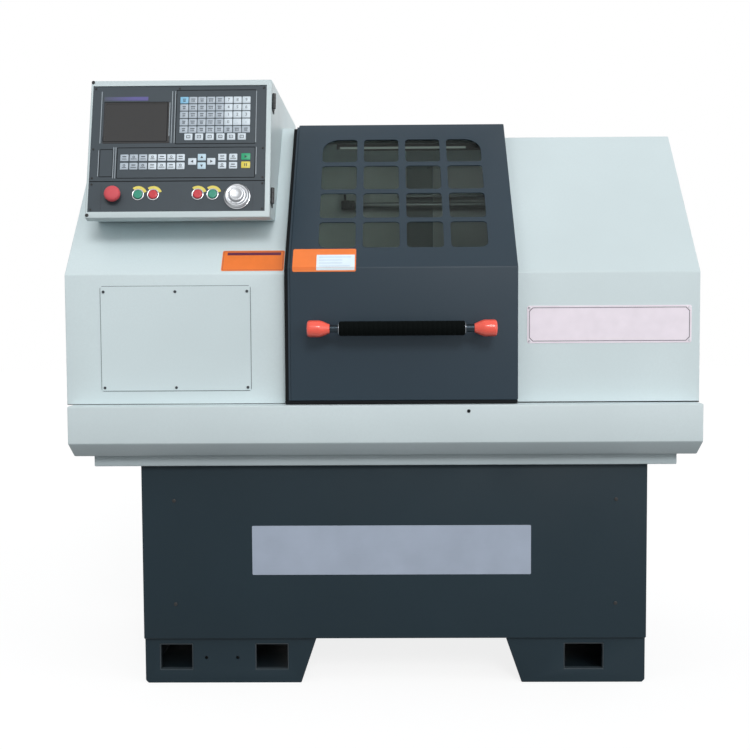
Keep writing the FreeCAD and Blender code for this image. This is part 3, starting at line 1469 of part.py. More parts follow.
gland_x = lid_left + s.gland_inset
gland_tube = rod("Y", s.gland_radius, s.box_back, s.box_back + s.gland_length, gland_x, s.gland_level)
gland_nut = rod("Y", s.gland_nut_radius, s.box_back, s.box_back + s.gland_nut_length, gland_x,
                s.gland_level)
gland_bore = rod("Y", s.gland_bore_radius, s.box_back + s.gland_nut_length,
                 s.box_back + s.gland_length + s.overrun, gland_x, s.gland_level)
node("cable_gland", less(joined(gland_tube, gland_nut), gland_bore))

# checks and export

doc.recompute()
for thing in doc.Objects:
    if "Invalid" in thing.State or "Error" in thing.State:
        raise RuntimeError(f"{thing.Label} failed: {thing.State}")
for feature in pockets:
    if feature.Shape.Volume >= feature.BaseFeature.Shape.Volume:
        raise RuntimeError(f"{feature.Label} cuts nothing")
for thing in nodes:
    if thing.Shape.isNull() or not thing.Shape.isValid():
        raise RuntimeError(f"{thing.Label} has no valid shape")
os.makedirs("parts", exist_ok=True)
for thing in nodes:
    thing.Shape.exportStep(f"parts/{thing.Label}.step")
    print(thing.Label, len(thing.Shape.Solids), round(thing.Shape.Volume))
print(len(nodes), "nodes")
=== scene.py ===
import json
import math

import bmesh
import bpy
from mathutils import Matrix, Vector

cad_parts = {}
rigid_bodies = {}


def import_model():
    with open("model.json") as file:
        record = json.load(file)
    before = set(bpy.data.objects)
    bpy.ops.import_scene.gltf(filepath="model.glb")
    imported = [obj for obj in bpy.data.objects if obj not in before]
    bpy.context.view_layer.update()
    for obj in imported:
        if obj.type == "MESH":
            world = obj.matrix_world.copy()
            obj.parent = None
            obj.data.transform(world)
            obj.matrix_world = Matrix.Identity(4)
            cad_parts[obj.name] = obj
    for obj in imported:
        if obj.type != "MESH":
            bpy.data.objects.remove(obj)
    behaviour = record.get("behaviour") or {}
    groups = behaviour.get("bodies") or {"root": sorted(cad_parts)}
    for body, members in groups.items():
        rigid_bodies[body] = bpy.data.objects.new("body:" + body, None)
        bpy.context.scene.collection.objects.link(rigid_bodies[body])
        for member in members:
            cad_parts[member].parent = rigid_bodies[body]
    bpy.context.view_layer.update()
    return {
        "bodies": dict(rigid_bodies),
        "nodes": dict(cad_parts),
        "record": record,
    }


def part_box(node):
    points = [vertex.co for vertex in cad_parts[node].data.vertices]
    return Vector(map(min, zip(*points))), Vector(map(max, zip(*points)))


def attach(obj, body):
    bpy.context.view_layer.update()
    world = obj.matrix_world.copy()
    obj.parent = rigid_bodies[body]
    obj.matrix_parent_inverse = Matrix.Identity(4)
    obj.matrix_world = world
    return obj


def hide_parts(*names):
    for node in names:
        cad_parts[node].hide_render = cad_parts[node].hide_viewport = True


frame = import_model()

emptyName = {empty: name for name, empty in frame["bodies"].items()}
bodyOf = {node: emptyName[thing.parent] for node, thing in frame["nodes"].items()}
slotOf = {part["node"]: part["material_slot"] for part in frame["record"]["subparts"]}
print("frame loaded:", len(bodyOf), "nodes")

# small helpers; lengths are in mm and angles in degrees unless a comment says otherwise


def mm(value):
    return value / 1000


def shift(x, y, z=0.0):
    return Matrix.Translation((mm(x), mm(y), mm(z)))


def turned(degrees, axis):
    return Matrix.Rotation(math.radians(degrees), 4, axis)


def onCircle(radius, degrees, x=0.0, y=0.0):
    return x + radius * math.cos(math.radians(degrees)), y + radius * math.sin(math.radians(degrees))


def corners(node):
    return [corner * 1000 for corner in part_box(node)]


def srgb(colour):
    channels = [value / 255 for value in colour]
    return (*[value / 12.92 if value < 0.04045 else ((value + 0.055) / 1.055) ** 2.4 for value in channels], 1)


def addObject(name, data):
    thing = bpy.data.objects.new(name, data)
    bpy.context.scene.collection.objects.link(thing)
    return thing


def meshNow(thing):
    # the mesh that the thing's modifiers or its curve give
    bpy.context.view_layer.update()
    return bpy.data.meshes.new_from_object(thing.evaluated_get(bpy.context.evaluated_depsgraph_get()))


def step(tree, kind, links=(), **settings):
    # one node; a link is a value, a socket, a node for its first output, or a list of nodes
    made = tree.nodes.new(kind)
    for label, value in settings.items():
        setattr(made, label, value)
    for socket, source in dict(links).items():
        for item in source if isinstance(source, list) else [source]:
            if isinstance(item, bpy.types.Node):
                item = item.outputs[0]
            if isinstance(item, bpy.types.NodeSocket):
                tree.links.new(item, made.inputs[socket])
            else:
                made.inputs[socket].default_value = item
    return made


def calc(tree, operation, first, second=0.0):
    return step(tree, "ShaderNodeMath", {0: first, 1: second}, operation=operation)


# camera, floor and light

view = {
    "eye": (10.8, -3225.9, 951.6),  # worked out from the photograph's perspective
    "yaw": -0.0119,  # this and the next two in radians
    "pitch": 0.0600,
    "roll": -0.0058,
    "focalPixels": 1150,
    "imagePixels": 750,
    "sensor": 36,
    "farEnd": 60,  # m
}


def makeCamera():
    yaw, pitch, roll = view["yaw"], view["pitch"], view["roll"]
    forward = Vector((math.sin(yaw) * math.cos(pitch), math.cos(yaw) * math.cos(pitch), -math.sin(pitch)))
    right = Vector((math.cos(yaw), -math.sin(yaw), 0))
    up = right.cross(forward)
    tiltedRight = right * math.cos(roll) + up * math.sin(roll)
    tiltedUp = up * math.cos(roll) - right * math.sin(roll)
    lens = bpy.data.cameras.new("photoCamera")
    lens.sensor_width = view["sensor"]
    lens.lens = view["focalPixels"] / view["imagePixels"] * view["sensor"]
    lens.clip_end = view["farEnd"]
    camera = addObject("photoCamera", lens)
    camera.matrix_world = shift(*view["eye"]) @ Matrix((tiltedRight, tiltedUp, -forward)).transposed().to_4x4()
    bpy.context.scene.camera = camera


studio = {  # lengths in m
    "worldStrength": 0.47,
    "worldTint": (0.97, 0.99, 1, 1),
    "suns": {  # strength, width in degrees for soft shadows, direction it shines from
        "keyLight": (1.12, 18, (0.15, -1.0, 0.60)),
        "fillLight": (1.50, 75, (0.75, -0.60, 0.05)),
    },
    "sidePower": 3.4,  # W, a small soft box over the left end
    "sideWidth": 0.8,
    "sidePlace": (-1.02, -1.47, 2.30),
    "sideAim": (-0.60, -0.35, 1.09),
    "floorHalfWidth": 14,
    "floorGlow": 0.84,
    "floorShade": 0.24,
    "floorBounce": 0.20,
}


def seenDirectly(tree):
    rays = step(tree, "ShaderNodeLightPath").outputs
    first = calc(tree, "MAXIMUM", rays["Is Camera Ray"], rays["Is Glossy Ray"])
    return calc(tree, "MAXIMUM", first, rays["Is Transmission Ray"])


def makeLamps():
    for name, (strength, width, source) in studio["suns"].items():
        lamp = bpy.data.lights.new(name, "SUN")
        lamp.energy = strength
        lamp.angle = math.radians(width)
        addObject(name, lamp).rotation_euler = Vector(source).to_track_quat("Z", "Y").to_euler()
    soft = bpy.data.lights.new("sideLight", "AREA")
    soft.energy = studio["sidePower"]
    soft.size = studio["sideWidth"]
    box = addObject("sideLight", soft)
    place, aim = Vector(studio["sidePlace"]), Vector(studio["sideAim"])
    box.location = place
    box.rotation_euler = (place - aim).to_track_quat("Z", "Y").to_euler()
    box.visible_camera = False
    box.visible_glossy = False


def makeWorld():
    world = bpy.data.worlds.new("studioWorld")
    bpy.context.scene.world = world
    world.use_nodes = True
    tree = world.node_tree
    lit = tree.nodes["Background"]
    lit.inputs["Strength"].default_value = studio["worldStrength"]
    lit.inputs["Color"].default_value = studio["worldTint"]
    shown = step(tree, "ShaderNodeBackground", {"Color": (1, 1, 1, 1)})
    mix = step(tree, "ShaderNodeMixShader", {0: seenDirectly(tree), 1: lit, 2: shown})
    tree.links.new(mix.outputs[0], tree.nodes["World Output"].inputs["Surface"])


def makeFloor():
    half = studio["floorHalfWidth"]
    mesh = bpy.data.meshes.new("studioFloor")
    sheet = [(-half, -half, 0), (half, -half, 0), (half, half, 0), (-half, half, 0)]
    mesh.from_pydata(sheet, [], [(0, 1, 2, 3)])
    material = bpy.data.materials.new("studioFloor")
    material.use_nodes = True
    tree = material.node_tree
    tree.nodes.remove(tree.nodes["Principled BSDF"])
    shade = step(tree, "ShaderNodeBsdfDiffuse", {"Color": (studio["floorShade"],) * 3 + (1,)})
    glow = step(tree, "ShaderNodeEmission", {"Strength": studio["floorGlow"]})
    bounce = step(tree, "ShaderNodeBsdfDiffuse", {"Color": (studio["floorBounce"],) * 3 + (1,)})
    both = step(tree, "ShaderNodeAddShader", {0: shade, 1: glow})
    mix = step(tree, "ShaderNodeMixShader", {0: seenDirectly(tree), 1: bounce, 2: both})
    tree.links.new(mix.outputs[0], tree.nodes["Material Output"].inputs["Surface"])
    mesh.materials.append(material)
    floor = addObject("studioFloor", mesh)


makeCamera()
makeLamps()
makeWorld()
makeFloor()
bpy.context.scene.view_settings.view_transform = "Standard"
print("camera and studio made")

# materials: makers first, then one table of values for each maker


def startMaterial(name, metallic=0.0, coat=0.0, specular=0.5):
    material = bpy.data.materials.new(name[0] + name.title().replace("_", "")[1:])
    material.use_nodes = True
    surface = material.node_tree.nodes["Principled BSDF"]
    surface.inputs["Metallic"].default_value = metallic
    surface.inputs["Coat Weight"].default_value = coat
    surface.inputs["Specular IOR Level"].default_value = specular
    return material, material.node_tree, surface


def objectPlace(tree, stretch=(1, 1, 1), centre=(0, 0, 0)):
    offset = tuple(-mm(a) * b for a, b in zip(centre, stretch))
    place = step(tree, "ShaderNodeTexCoord").outputs["Object"]
    return step(tree, "ShaderNodeMapping", {"Scale": stretch, "Location": offset, "Vector": place})


def noise(tree, place, scale, detail=2.0, roughness=0.5):
    return step(tree, "ShaderNodeTexNoise", {"Scale": scale, "Detail": detail, "Roughness": roughness,
                                             "Vector": place})


def ranged(tree, value, low, high, fromLow=0.3, fromHigh=0.7):
    return step(tree, "ShaderNodeMapRange", {"From Min": fromLow, "From Max": fromHigh, "To Min": low,
                                             "To Max": high, "Value": value})


def blended(tree, factor, first, second):
    return step(tree, "ShaderNodeMix", {6: first, 7: second, 0: factor}, data_type="RGBA").outputs[2]


def dimmed(colour, share):
    return (*[channel * share for channel in colour[:3]], 1)


def feed(tree, surface, tone, rough, height=None, strength=0.0, distance=0.0):
    # colour, roughness and, where a height is given, relief in mm
    tree.links.new(tone, surface.inputs["Base Color"])
    tree.links.new(rough.outputs[0], surface.inputs["Roughness"])
    if height:
        bump = step(tree, "ShaderNodeBump", {"Strength": strength, "Distance": mm(distance), "Height": height})
        tree.links.new(bump.outputs["Normal"], surface.inputs["Normal"])


def paintFinish(name, colour, rough, patch=0.03, specular=0.5, peel=0.10):
    # sprayed paint: broad patches of tone and fine orange peel
    colour = srgb(colour)
    material, tree, surface = startMaterial(name, specular=specular)
    place = objectPlace(tree)
    patches = ranged(tree, noise(tree, place, 2.6, 3), 0, 1, 0.35, 0.65)
    tone = blended(tree, patches, dimmed(colour, 1 - patch), dimmed(colour, 1 + patch))
    fine = ranged(tree, ranged(tree, noise(tree, place, 190, 2), 0, 1), 0, 0.35, 0, 1)
    tone = blended(tree, fine, tone, dimmed(colour, 1 - patch * 1.6))
    smear = ranged(tree, noise(tree, place, 7, 4, 0.6), rough - 0.05, rough + 0.07)
    feed(tree, surface, tone, smear, noise(tree, place, 620, 2), peel, 0.25)
    return material


def groundFinish(name, colour, rough, along, scale, metallic=1.0, scratch=0.25):
    # ground metal: fine lines that run along one axis
    colour = srgb(colour)
    material, tree, surface = startMaterial(name, metallic=metallic)
    place = objectPlace(tree, tuple(0.02 if axis == along else 1 for axis in "XYZ"))
    lines = noise(tree, place, scale, 3, 0.6)
    broad = ranged(tree, noise(tree, objectPlace(tree), 14, 3), 0, 1)
    feed(tree, surface, blended(tree, broad, dimmed(colour, 0.90), colour),
         ranged(tree, lines, rough - 0.08, rough + 0.10), lines, scratch, 0.08)
    return material


def turnedFinish(name, colour, rough, centre, axis="X", scale=420):
    # turned metal: rings round a centre line
    colour = srgb(colour)
    material, tree, surface = startMaterial(name, metallic=1.0)
    place = objectPlace(tree, tuple(0.001 if letter == axis else 1 for letter in "XYZ"), centre)
    span = step(tree, "ShaderNodeVectorMath", {0: place}, operation="LENGTH").outputs["Value"]
    rings = step(tree, "ShaderNodeTexNoise", {"Scale": scale, "Detail": 4}, noise_dimensions="1D")
    tree.links.new(span, rings.inputs["W"])
    feed(tree, surface, blended(tree, ranged(tree, rings, 0, 1), dimmed(colour, 0.86), colour),
         ranged(tree, rings, rough - 0.06, rough + 0.10), rings, 0.3, 0.06)
    return material


def castFinish(name, colour, rough, grain, metallic=0.0):
    # cast and painted, or bare cast, with a pebbled skin and darker low spots
    colour = srgb(colour)
    material, tree, surface = startMaterial(name, metallic=metallic)
    place = objectPlace(tree)
    pebbles = noise(tree, place, 260, 4, 0.6)
    tone = blended(tree, ranged(tree, noise(tree, place, 11, 3), 0, 1), dimmed(colour, 0.88), colour)
    tone = blended(tree, ranged(tree, pebbles, 0.5, 0, 0.3, 0.5), tone, dimmed(colour, 0.7))
    feed(tree, surface, tone, ranged(tree, pebbles, rough - 0.06, rough + 0.08), pebbles, grain, 0.35)
    return material


def mouldedFinish(name, colour, rough, grain=0.15, coat=0.0, grainScale=1400, specular=0.5):
    # moulded plastic, rubber or print with a fine grain
    colour = srgb(colour)
    material, tree, surface = startMaterial(name, coat=coat, specular=specular)
    place = objectPlace(tree)
    fine = noise(tree, place, grainScale, 2)
    broad = ranged(tree, noise(tree, place, 30, 2), 0, 1)
    feed(tree, surface, blended(tree, broad, dimmed(colour, 0.94), colour),
         ranged(tree, fine, rough - 0.04, rough + 0.06), fine, grain, 0.1)
    return material


def glassFinish(name, tint, haze, rough, clear, bend):
    # tinted sheet: part of the light goes straight through, so both faces stay thin
    material, tree, surface = startMaterial(name)
    surface.inputs["Base Color"].default_value = srgb(haze)
    surface.inputs["Roughness"].default_value = rough
    smudge = ranged(tree, noise(tree, objectPlace(tree), 9, 4, 0.6), clear * 0.96, clear)
    through = step(tree, "ShaderNodeBsdfTransparent", {"Color": srgb(tint)})
    gloss = step(tree, "ShaderNodeBsdfGlossy", {"Roughness": rough})
    edge = step(tree, "ShaderNodeFresnel", {"IOR": bend})
    sheet = step(tree, "ShaderNodeMixShader", {0: smudge, 1: surface, 2: through})
    top = step(tree, "ShaderNodeMixShader", {0: edge, 1: sheet, 2: gloss})
    tree.links.new(top.outputs[0], tree.nodes["Material Output"].inputs["Surface"])
    return material


def fadingFinish(name, first, second, start, end, rough):
    # a tone that runs from one colour to another along X
    material, tree, surface = startMaterial(name)
    across = step(tree, "ShaderNodeSeparateXYZ", {0: objectPlace(tree)}).outputs["X"]
    share = ranged(tree, across, 0, 1, mm(start), mm(end))
    fine = ranged(tree, noise(tree, objectPlace(tree), 900, 2), rough - 0.04, rough + 0.06)
    feed(tree, surface, blended(tree, share, srgb(first), srgb(second)), fine)
    return material


def threadFinish(name, colour, pitch):
    # a threaded rod: ridges across the rod at the given pitch, darker between them
    colour = srgb(colour)
    material, tree, surface = startMaterial(name, metallic=1.0)
    split = step(tree, "ShaderNodeSeparateXYZ", {0: objectPlace(tree)}).outputs
    along = calc(tree, "MULTIPLY", calc(tree, "ADD", split["X"], split["Y"]), 2 * math.pi / mm(pitch))
    height = ranged(tree, calc(tree, "SINE", along), 0, 1, -1, 1)
    feed(tree, surface, blended(tree, height, dimmed(colour, 0.35), colour),
         ranged(tree, height, 0.50, 0.25, 0, 1), height, 0.9, 1.2)
    return material


def lampFinish(name, colour, glow):
    colour = srgb(colour)
    material, tree, surface = startMaterial(name)
    stripes = ranged(tree, noise(tree, objectPlace(tree), 60, 2), 0.9, 1)
    tone = blended(tree, stripes, dimmed(colour, 0.92), colour)
    for socket in ("Base Color", "Emission Color"):
        tree.links.new(tone, surface.inputs[socket])
    surface.inputs["Emission Strength"].default_value = glow
    surface.inputs["Roughness"].default_value = 0.35
    return material


spindleAxis = Vector((0, -40, 960))
finishTables = (
    (paintFinish, {  # colour, roughness, strength of the patches, specular, peel
        "white_paint": ((209, 223, 226), 0.40),
        # a darker copy of the white for the lid: painted shade, because the tilted lid catches more light
        "lid_paint": ((195, 208, 211), 0.40),
        "tray_paint": ((206, 219, 222), 0.42),
        "dark_paint": ((30, 45, 53), 0.50, 0.06, 0.20),
        "door_paint": ((42, 57, 68), 0.42, 0.05, 0.28),
        # a darker copy of the white: painted shade for the lower pan under the tray and for the tray's
        # underside
        "pan_paint": ((178, 191, 195), 0.46, 0.05),
        # lighter than the feet: painted highlight on the rims of the pallet windows
        "sleeve_paint": ((58, 68, 74), 0.42, 0.05),
        "liner_dark": ((112, 118, 119), 0.50, 0.06, 0.5, 0.03),
    }),
    (groundFinish, {  # colour, roughness, axis of the lines, their scale, metallic, depth
        "zinc_steel": ((188, 190, 192), 0.36, "Z", 500),
        "bed_iron": ((138, 140, 140), 0.34, "X", 700),
        "hard_steel": ((112, 114, 118), 0.32, "Z", 600),
        # chrome with a dark blue-grey colour: painted reflection of the dark door
        "chromed_tube": ((48, 56, 62), 0.30, "X", 500, 1.0, 0.08),
        "tank_steel": ((150, 154, 156), 0.42, "Z", 220),
        "plate_alloy": ((160, 171, 188), 0.42, "X", 700, 0.30),
        "screw_steel": ((150, 154, 158), 0.34, "Y", 900),
        "screw_dark": ((72, 76, 80), 0.42, "Y", 900),
    }),
    (turnedFinish, {  # colour, roughness, centre, axis, scale of the rings
        "bearing_steel": ((176, 178, 180), 0.22, spindleAxis),
        "machined_steel": ((168, 170, 172), 0.28, spindleAxis),
        "collar_alloy": ((128, 134, 140), 0.30, (0, -489, 898)),
        "chrome": ((196, 198, 202), 0.18, (0, 0, 0), "Y", 40),
        "dial_alloy": ((180, 183, 187), 0.34, (-357.5, -398, 1221), "Y", 500),
    }),
    (castFinish, {  # colour, roughness, grain, metallic
        "cast_green": ((120, 140, 132), 0.48, 0.45),
        "cast_alloy": ((150, 153, 156), 0.38, 0.35, 0.9),
        "motor_paint": ((64, 84, 104), 0.45, 0.30),
        "black_metal": ((38, 40, 42), 0.45, 0.25),
        "servo_black": ((34, 35, 38), 0.42, 0.30),
        "screw_black": ((12, 14, 16), 0.50, 0.20),
    }),
    (mouldedFinish, {  # colour, roughness, grain, coat, scale of the grain, specular
        "belt_rubber": ((26, 26, 27), 0.62, 0.3, 0, 700),
        "white_nylon": ((226, 226, 216), 0.42),
        "grip_rubber": ((8, 12, 12), 0.80, 0.4, 0, 900, 0.05),
        "orange_plastic": ((255, 92, 72), 0.30, 0.08, 0.35),
        "panel_film": ((55, 65, 72), 0.46, 0.25, 0, 1100, 0.35),
        "screen_black": ((30, 30, 31), 0.10, 0, 0.4),
        "screen_glass": ((34, 42, 42), 0.10, 0, 0.4),
        "key_plastic": ((174, 186, 197), 0.40, 0.12),
        "key_light": ((208, 220, 229), 0.40, 0.12),
        "key_sky": ((188, 214, 228), 0.40, 0.12),
        "key_blue": ((132, 190, 222), 0.40, 0.12),
        "key_green": ((30, 160, 112), 0.40, 0.12),
        "key_yellow": ((222, 205, 84), 0.40, 0.12),
        "green_plastic": ((8, 138, 112), 0.30, 0.05, 0.3),
        "red_plastic": ((196, 34, 48), 0.32, 0.06, 0.2),
        "stop_red": ((206, 82, 90), 0.55, 0.15, 0, 900, 0.35),
        "black_nylon": ((28, 29, 30), 0.45, 0.2),
        "duct_grey": ((152, 156, 156), 0.50, 0.1),
        "breaker_grey": ((206, 209, 206), 0.40, 0.1),
        # light grey of the ribs: painted highlight on the edges of the panel's raised fields
        "rib_grey": ((150, 160, 168), 0.35, 0.1),
        "mark_dark": ((44, 51, 60), 0.55, 0.05),
        "seam_grey": ((104, 114, 120), 0.55, 0.05),
        "seal_rubber": ((14, 17, 20), 0.75, 0.4, 0, 500, 0.2),
        "label_line": ((176, 96, 70), 0.45, 0.05),
        "label_yellow": ((224, 208, 96), 0.45, 0.05),
        "label_orange": ((246, 128, 56), 0.42, 0.05),
        "label_purple": ((104, 44, 72), 0.45, 0.05),
        "label_white": ((232, 248, 255), 0.42, 0.05),
        "label_rule": ((150, 176, 226), 0.45, 0.05),
        "plate_white": ((250, 240, 250), 0.34, 0.08, 0.2),
        "plate_line": ((112, 106, 116), 0.45, 0.05),
    }),
    (glassFinish, {  # tint, haze, roughness, clear share, refraction
        "clear_sheet": ((226, 230, 227), (62, 68, 68), 0.06, 0.97, 1.13),
    }),
    (fadingFinish, {  # first and second colour, start and end along X, roughness
        "liner_green": ((224, 229, 226), (168, 172, 170), -236, 69, 0.50),
        "liner_grey": ((166, 170, 170), (178, 178, 180), 154, 300, 0.50),
        "badge_purple": ((60, 68, 80), (82, 78, 138), -700, -620, 0.40),
    }),
    (threadFinish, {  # colour, pitch
        "screw_thread": ((150, 152, 154), 5),
    }),
    (lampFinish, {  # colour, glow
        "lamp_plastic": ((244, 243, 232), 0.55),
        "lens_glow": ((122, 132, 130), 0.95),
        "tube_glow": ((240, 250, 246), 14),
    }),
)
finish = {name: maker(name, *values) for maker, rows in finishTables for name, values in rows.items()}
print("materials made:", len(finish))

# makers of shapes: each adds to a bmesh


def skin(work, first, second):
    # faces between two closed loops with the same number of points
    for index, vertex in enumerate(first):
        after = (index + 1) % len(first)
        work.faces.new((vertex, first[after], second[after], second[index]))


def addTurned(work, profile, place=Matrix(), segments=40):
    # profile: (radius, height) pairs, from the lower pole to the upper one, or closed on itself
    rings = []
    for radius, height in profile[:-1] if profile[0] == profile[-1] else profile:
        count = segments if radius else 1
        rings.append([work.verts.new(place @ shift(*onCircle(radius, 360 * index / count), height).translation)
                      for index in range(count)])
    if profile[0] == profile[-1]:
        rings.append(rings[0])
    for lower, upper in zip(rings, rings[1:]):
        if len(lower) == len(upper):
            skin(work, lower, upper)
            continue
        pole, ring, way = (lower[0], upper, -1) if len(lower) == 1 else (upper[0], lower, 1)
        for index in range(segments):
            work.faces.new((pole, ring[index], ring[(index + 1) % segments])[::way])


def bevel(work, edges, offset, segments):
    bmesh.ops.bevel(work, geom=edges, offset=mm(offset), segments=segments, profile=0.5, affect="EDGES",
                    clamp_overlap=True)


def addBlock(work, low, high, round=0.0, place=Matrix(), segments=2):
    made = bmesh.ops.create_cube(work, size=1)
    size = [mm(b - a) for a, b in zip(low, high)]
    middle = shift(*[(a + b) / 2 for a, b in zip(low, high)])
    bmesh.ops.transform(work, matrix=place @ middle @ Matrix.Diagonal((*size, 1)), verts=made["verts"])
    if round:
        bevel(work, list({edge for vertex in made["verts"] for edge in vertex.link_edges}), round, segments)


def roundedOutline(left, right, low, high, radius, steps=5):
    middles = ((right - radius, high - radius), (left + radius, high - radius),
               (left + radius, low + radius), (right - radius, low + radius))
    return [onCircle(radius, 90 * quarter + 90 * index / steps, x, y)
            for quarter, (x, y) in enumerate(middles) for index in range(steps + 1)]


def addPrism(work, outline, low, high, place=Matrix(), topInset=0.0):
    # outline counter-clockwise in the plane; low and high along the normal
    centreX = sum(x for x, _ in outline) / len(outline)
    centreY = sum(y for _, y in outline) / len(outline)
    loops = []
    for level, inset in ((low, 0), (high, topInset)):
        loops.append([])
        for x, y in outline:
            share = 1 - inset / (math.hypot(x - centreX, y - centreY) or 1)
            spot = shift(centreX + (x - centreX) * share, centreY + (y - centreY) * share, level)
            loops[-1].append(work.verts.new((place @ spot).translation))
    work.faces.new(loops[0][::-1])
    work.faces.new(loops[1])
    skin(work, *loops)


def addPlate(work, left, right, low, high, radius, bottom, top, place, inset=0.0):
    addPrism(work, roundedOutline(left, right, low, high, radius), bottom, top, place, inset)


def addFrame(work, outer, inner, low, high, place=Matrix()):
    # a flat ring between two outlines with the same number of points
    loops = [[work.verts.new((place @ shift(x, y, level)).translation) for x, y in outline]
             for outline, level in ((outer, low), (outer, high), (inner, high), (inner, low))]
    for first, second in zip(loops, loops[1:] + loops[:1]):
        skin(work, first, second)


def addStrip(work, startX, startY, endX, endY, width, bottom, top, place):
    # a raised line with rounded ends
    lean = math.degrees(math.atan2(endY - startY, endX - startX))
    points = [onCircle(width / 2, lean + start - 90 + 30 * index, x, y)
              for x, y, start in ((endX, endY, 0), (startX, startY, 180)) for index in range(7)]
    addPrism(work, points, bottom, top, place)


def addTube(work, points, radius, segments=12):
    # a round bar through points, closed at both ends
    path = [Vector([mm(value) for value in point]) for point in points]
    rings = []
    side = None
    for index, point in enumerate(path):
        ahead = (path[min(index + 1, len(path) - 1)] - path[max(index - 1, 0)]).normalized()
        side = side or ahead.orthogonal().normalized()
        side = (side - ahead * side.dot(ahead)).normalized()
        other = ahead.cross(side)
        rings.append([])
        for corner in range(segments):
            across, up = onCircle(mm(radius), 360 * corner / segments)
            rings[-1].append(work.verts.new(point + side * across + other * up))
    for lower, upper in zip(rings, rings[1:]):
        skin(work, lower, upper)
    work.faces.new(rings[0][::-1])
    work.faces.new(rings[-1])


def addMark(work, words, size, depth, place):
    # generic figures and signs only, as a flat raised mark centred on the place
    curve = bpy.data.curves.new("mark", "FONT")
    curve.body = words
    curve.size = mm(size)
    curve.extrude = mm(depth / 2)
    curve.align_x = "CENTER"
    curve.align_y = "CENTER"
    curve.resolution_u = 3
    holder = addObject("mark", curve)
    mesh = meshNow(holder)
    bpy.data.objects.remove(holder)
    mesh.transform(place @ shift(0, 0, depth / 2))
    work.from_mesh(mesh)


# makers of pieces


def addPiece(name, mesh, material, body, stands=(), smoothAngle=32):
    mesh.materials.clear()
    mesh.materials.append(finish[material])
    mesh.shade_smooth()
    mesh.set_sharp_from_angle(angle=math.radians(smoothAngle))
    piece = addObject(name, mesh)
    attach(piece, body)
    if stands:
        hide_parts(*stands)


def meshOf(name, shapes):
    # shapes: each a maker with its values
    work = bmesh.new()
    for maker, *values in shapes:
        maker(work, *values)
    bmesh.ops.recalc_face_normals(work, faces=work.faces)
    mesh = bpy.data.meshes.new(name)
    work.to_mesh(mesh)
    work.free()
    return mesh


def addSolid(name, material, body, *shapes, stands=(), smoothAngle=32):
    addPiece(name, meshOf(name, shapes), material, body, stands, smoothAngle)


def merged(mesh, distance, angle):
    # the same mesh with its points merged and its flat faces made whole; the angle in radians
    work = bmesh.new()
    work.from_mesh(mesh)
    bmesh.ops.remove_doubles(work, verts=work.verts, dist=mm(distance))
    bmesh.ops.dissolve_limit(work, angle_limit=angle, verts=work.verts, edges=work.edges)
    work.to_mesh(mesh)
    work.free()
    return mesh


def plainMesh(node):
    # a merged copy of a CAD node's triangles
    source = frame["nodes"][node].data
    mesh = bpy.data.meshes.new(node)
    mesh.from_pydata([vertex.co[:] for vertex in source.vertices], [],
                     [face.vertices[:] for face in source.polygons])
    return merged(mesh, 0.002, math.radians(0.5))


def roundEdges(mesh, fold, rim, thin, segments):
    # folds between broad faces get the bend radius, the cut edges of the sheet a small one
    work = bmesh.new()
    work.from_mesh(mesh)

    def sharp(degrees):
        return [edge for edge in work.edges
                if len(edge.link_faces) == 2 and edge.calc_face_angle(0) > math.radians(degrees)]

    def broad(face):
        return 2 * face.calc_area() / max(face.calc_perimeter(), 1e-9) > mm(thin)

    folds = [edge for edge in sharp(22) if all(broad(face) for face in edge.link_faces)]
    if folds and fold:
        bevel(work, folds, fold, segments)
    if rim:
        bevel(work, sharp(35), rim, 1)
    work.to_mesh(mesh)
    work.free()
    return mesh


def dress(node, fold, rim, material=None, name=None, thin=4.5, segments=3, cut=None):
    mesh = roundEdges(plainMesh(node), fold, rim, thin, segments)
    if cut:
        mesh = sunk(mesh, *cut)
    addPiece(name or node + "_body", mesh, material or slotOf[node], bodyOf[node], [node])


# planes: the lid's face, the slopes of covers and door, backs and ends

lid = {"corner": (-729, -412, 1169), "tilt": 15.2}
cover = {"front": -403, "fold": 1032, "tilt": 42.3}
doorProud = 34.5  # how far the door's slope stands out from the covers'


def planeFrame(corner, tilt=0.0, across=(1, 0, 0)):
    # X along a level direction, Y up the plane, Z out of it
    lean = math.radians(tilt)
    upward = Vector((0, math.sin(lean), math.cos(lean)))
    turn = Matrix((Vector(across), upward, Vector(across).cross(upward))).transposed().to_4x4()
    return shift(*corner) @ turn


def faceOf(node, axis, high, across):
    # the upright plane of a node's outermost face
    spot = [0, 0, 0]
    spot[axis] = corners(node)[high][axis]
    return planeFrame(spot, 0, across)


lidFrame = planeFrame(lid["corner"], lid["tilt"])
coverSlope = planeFrame((0, cover["front"], cover["fold"]), cover["tilt"])
coverFace = planeFrame((0, cover["front"], 0))
cabinetFace = planeFrame((0, -380, 0))
backFace = faceOf("rear_guard", 1, 1, (-1, 0, 0))
boxBack = faceOf("control_box", 1, 1, (-1, 0, 0))
cabinetBack = faceOf("base_cabinet", 1, 1, (-1, 0, 0))
leftEnd = faceOf("left_cover", 0, 0, (0, -1, 0))
rightEnd = faceOf("right_cover", 0, 1, (0, 1, 0))
cabinetLeft = faceOf("base_cabinet", 0, 0, (0, -1, 0))
cabinetRight = faceOf("base_cabinet", 0, 1, (0, 1, 0))
doorLow, doorHigh = corners("door_panel")
slopeTurn = math.radians(cover["tilt"])
foldZ = cover["fold"] + doorProud * (1 / math.cos(slopeTurn) - 1) / math.tan(slopeTurn)
doorSlope = planeFrame((0, doorLow.y, foldZ), cover["tilt"])
doorFront = planeFrame((0, doorLow.y, foldZ))

# geometry node trees

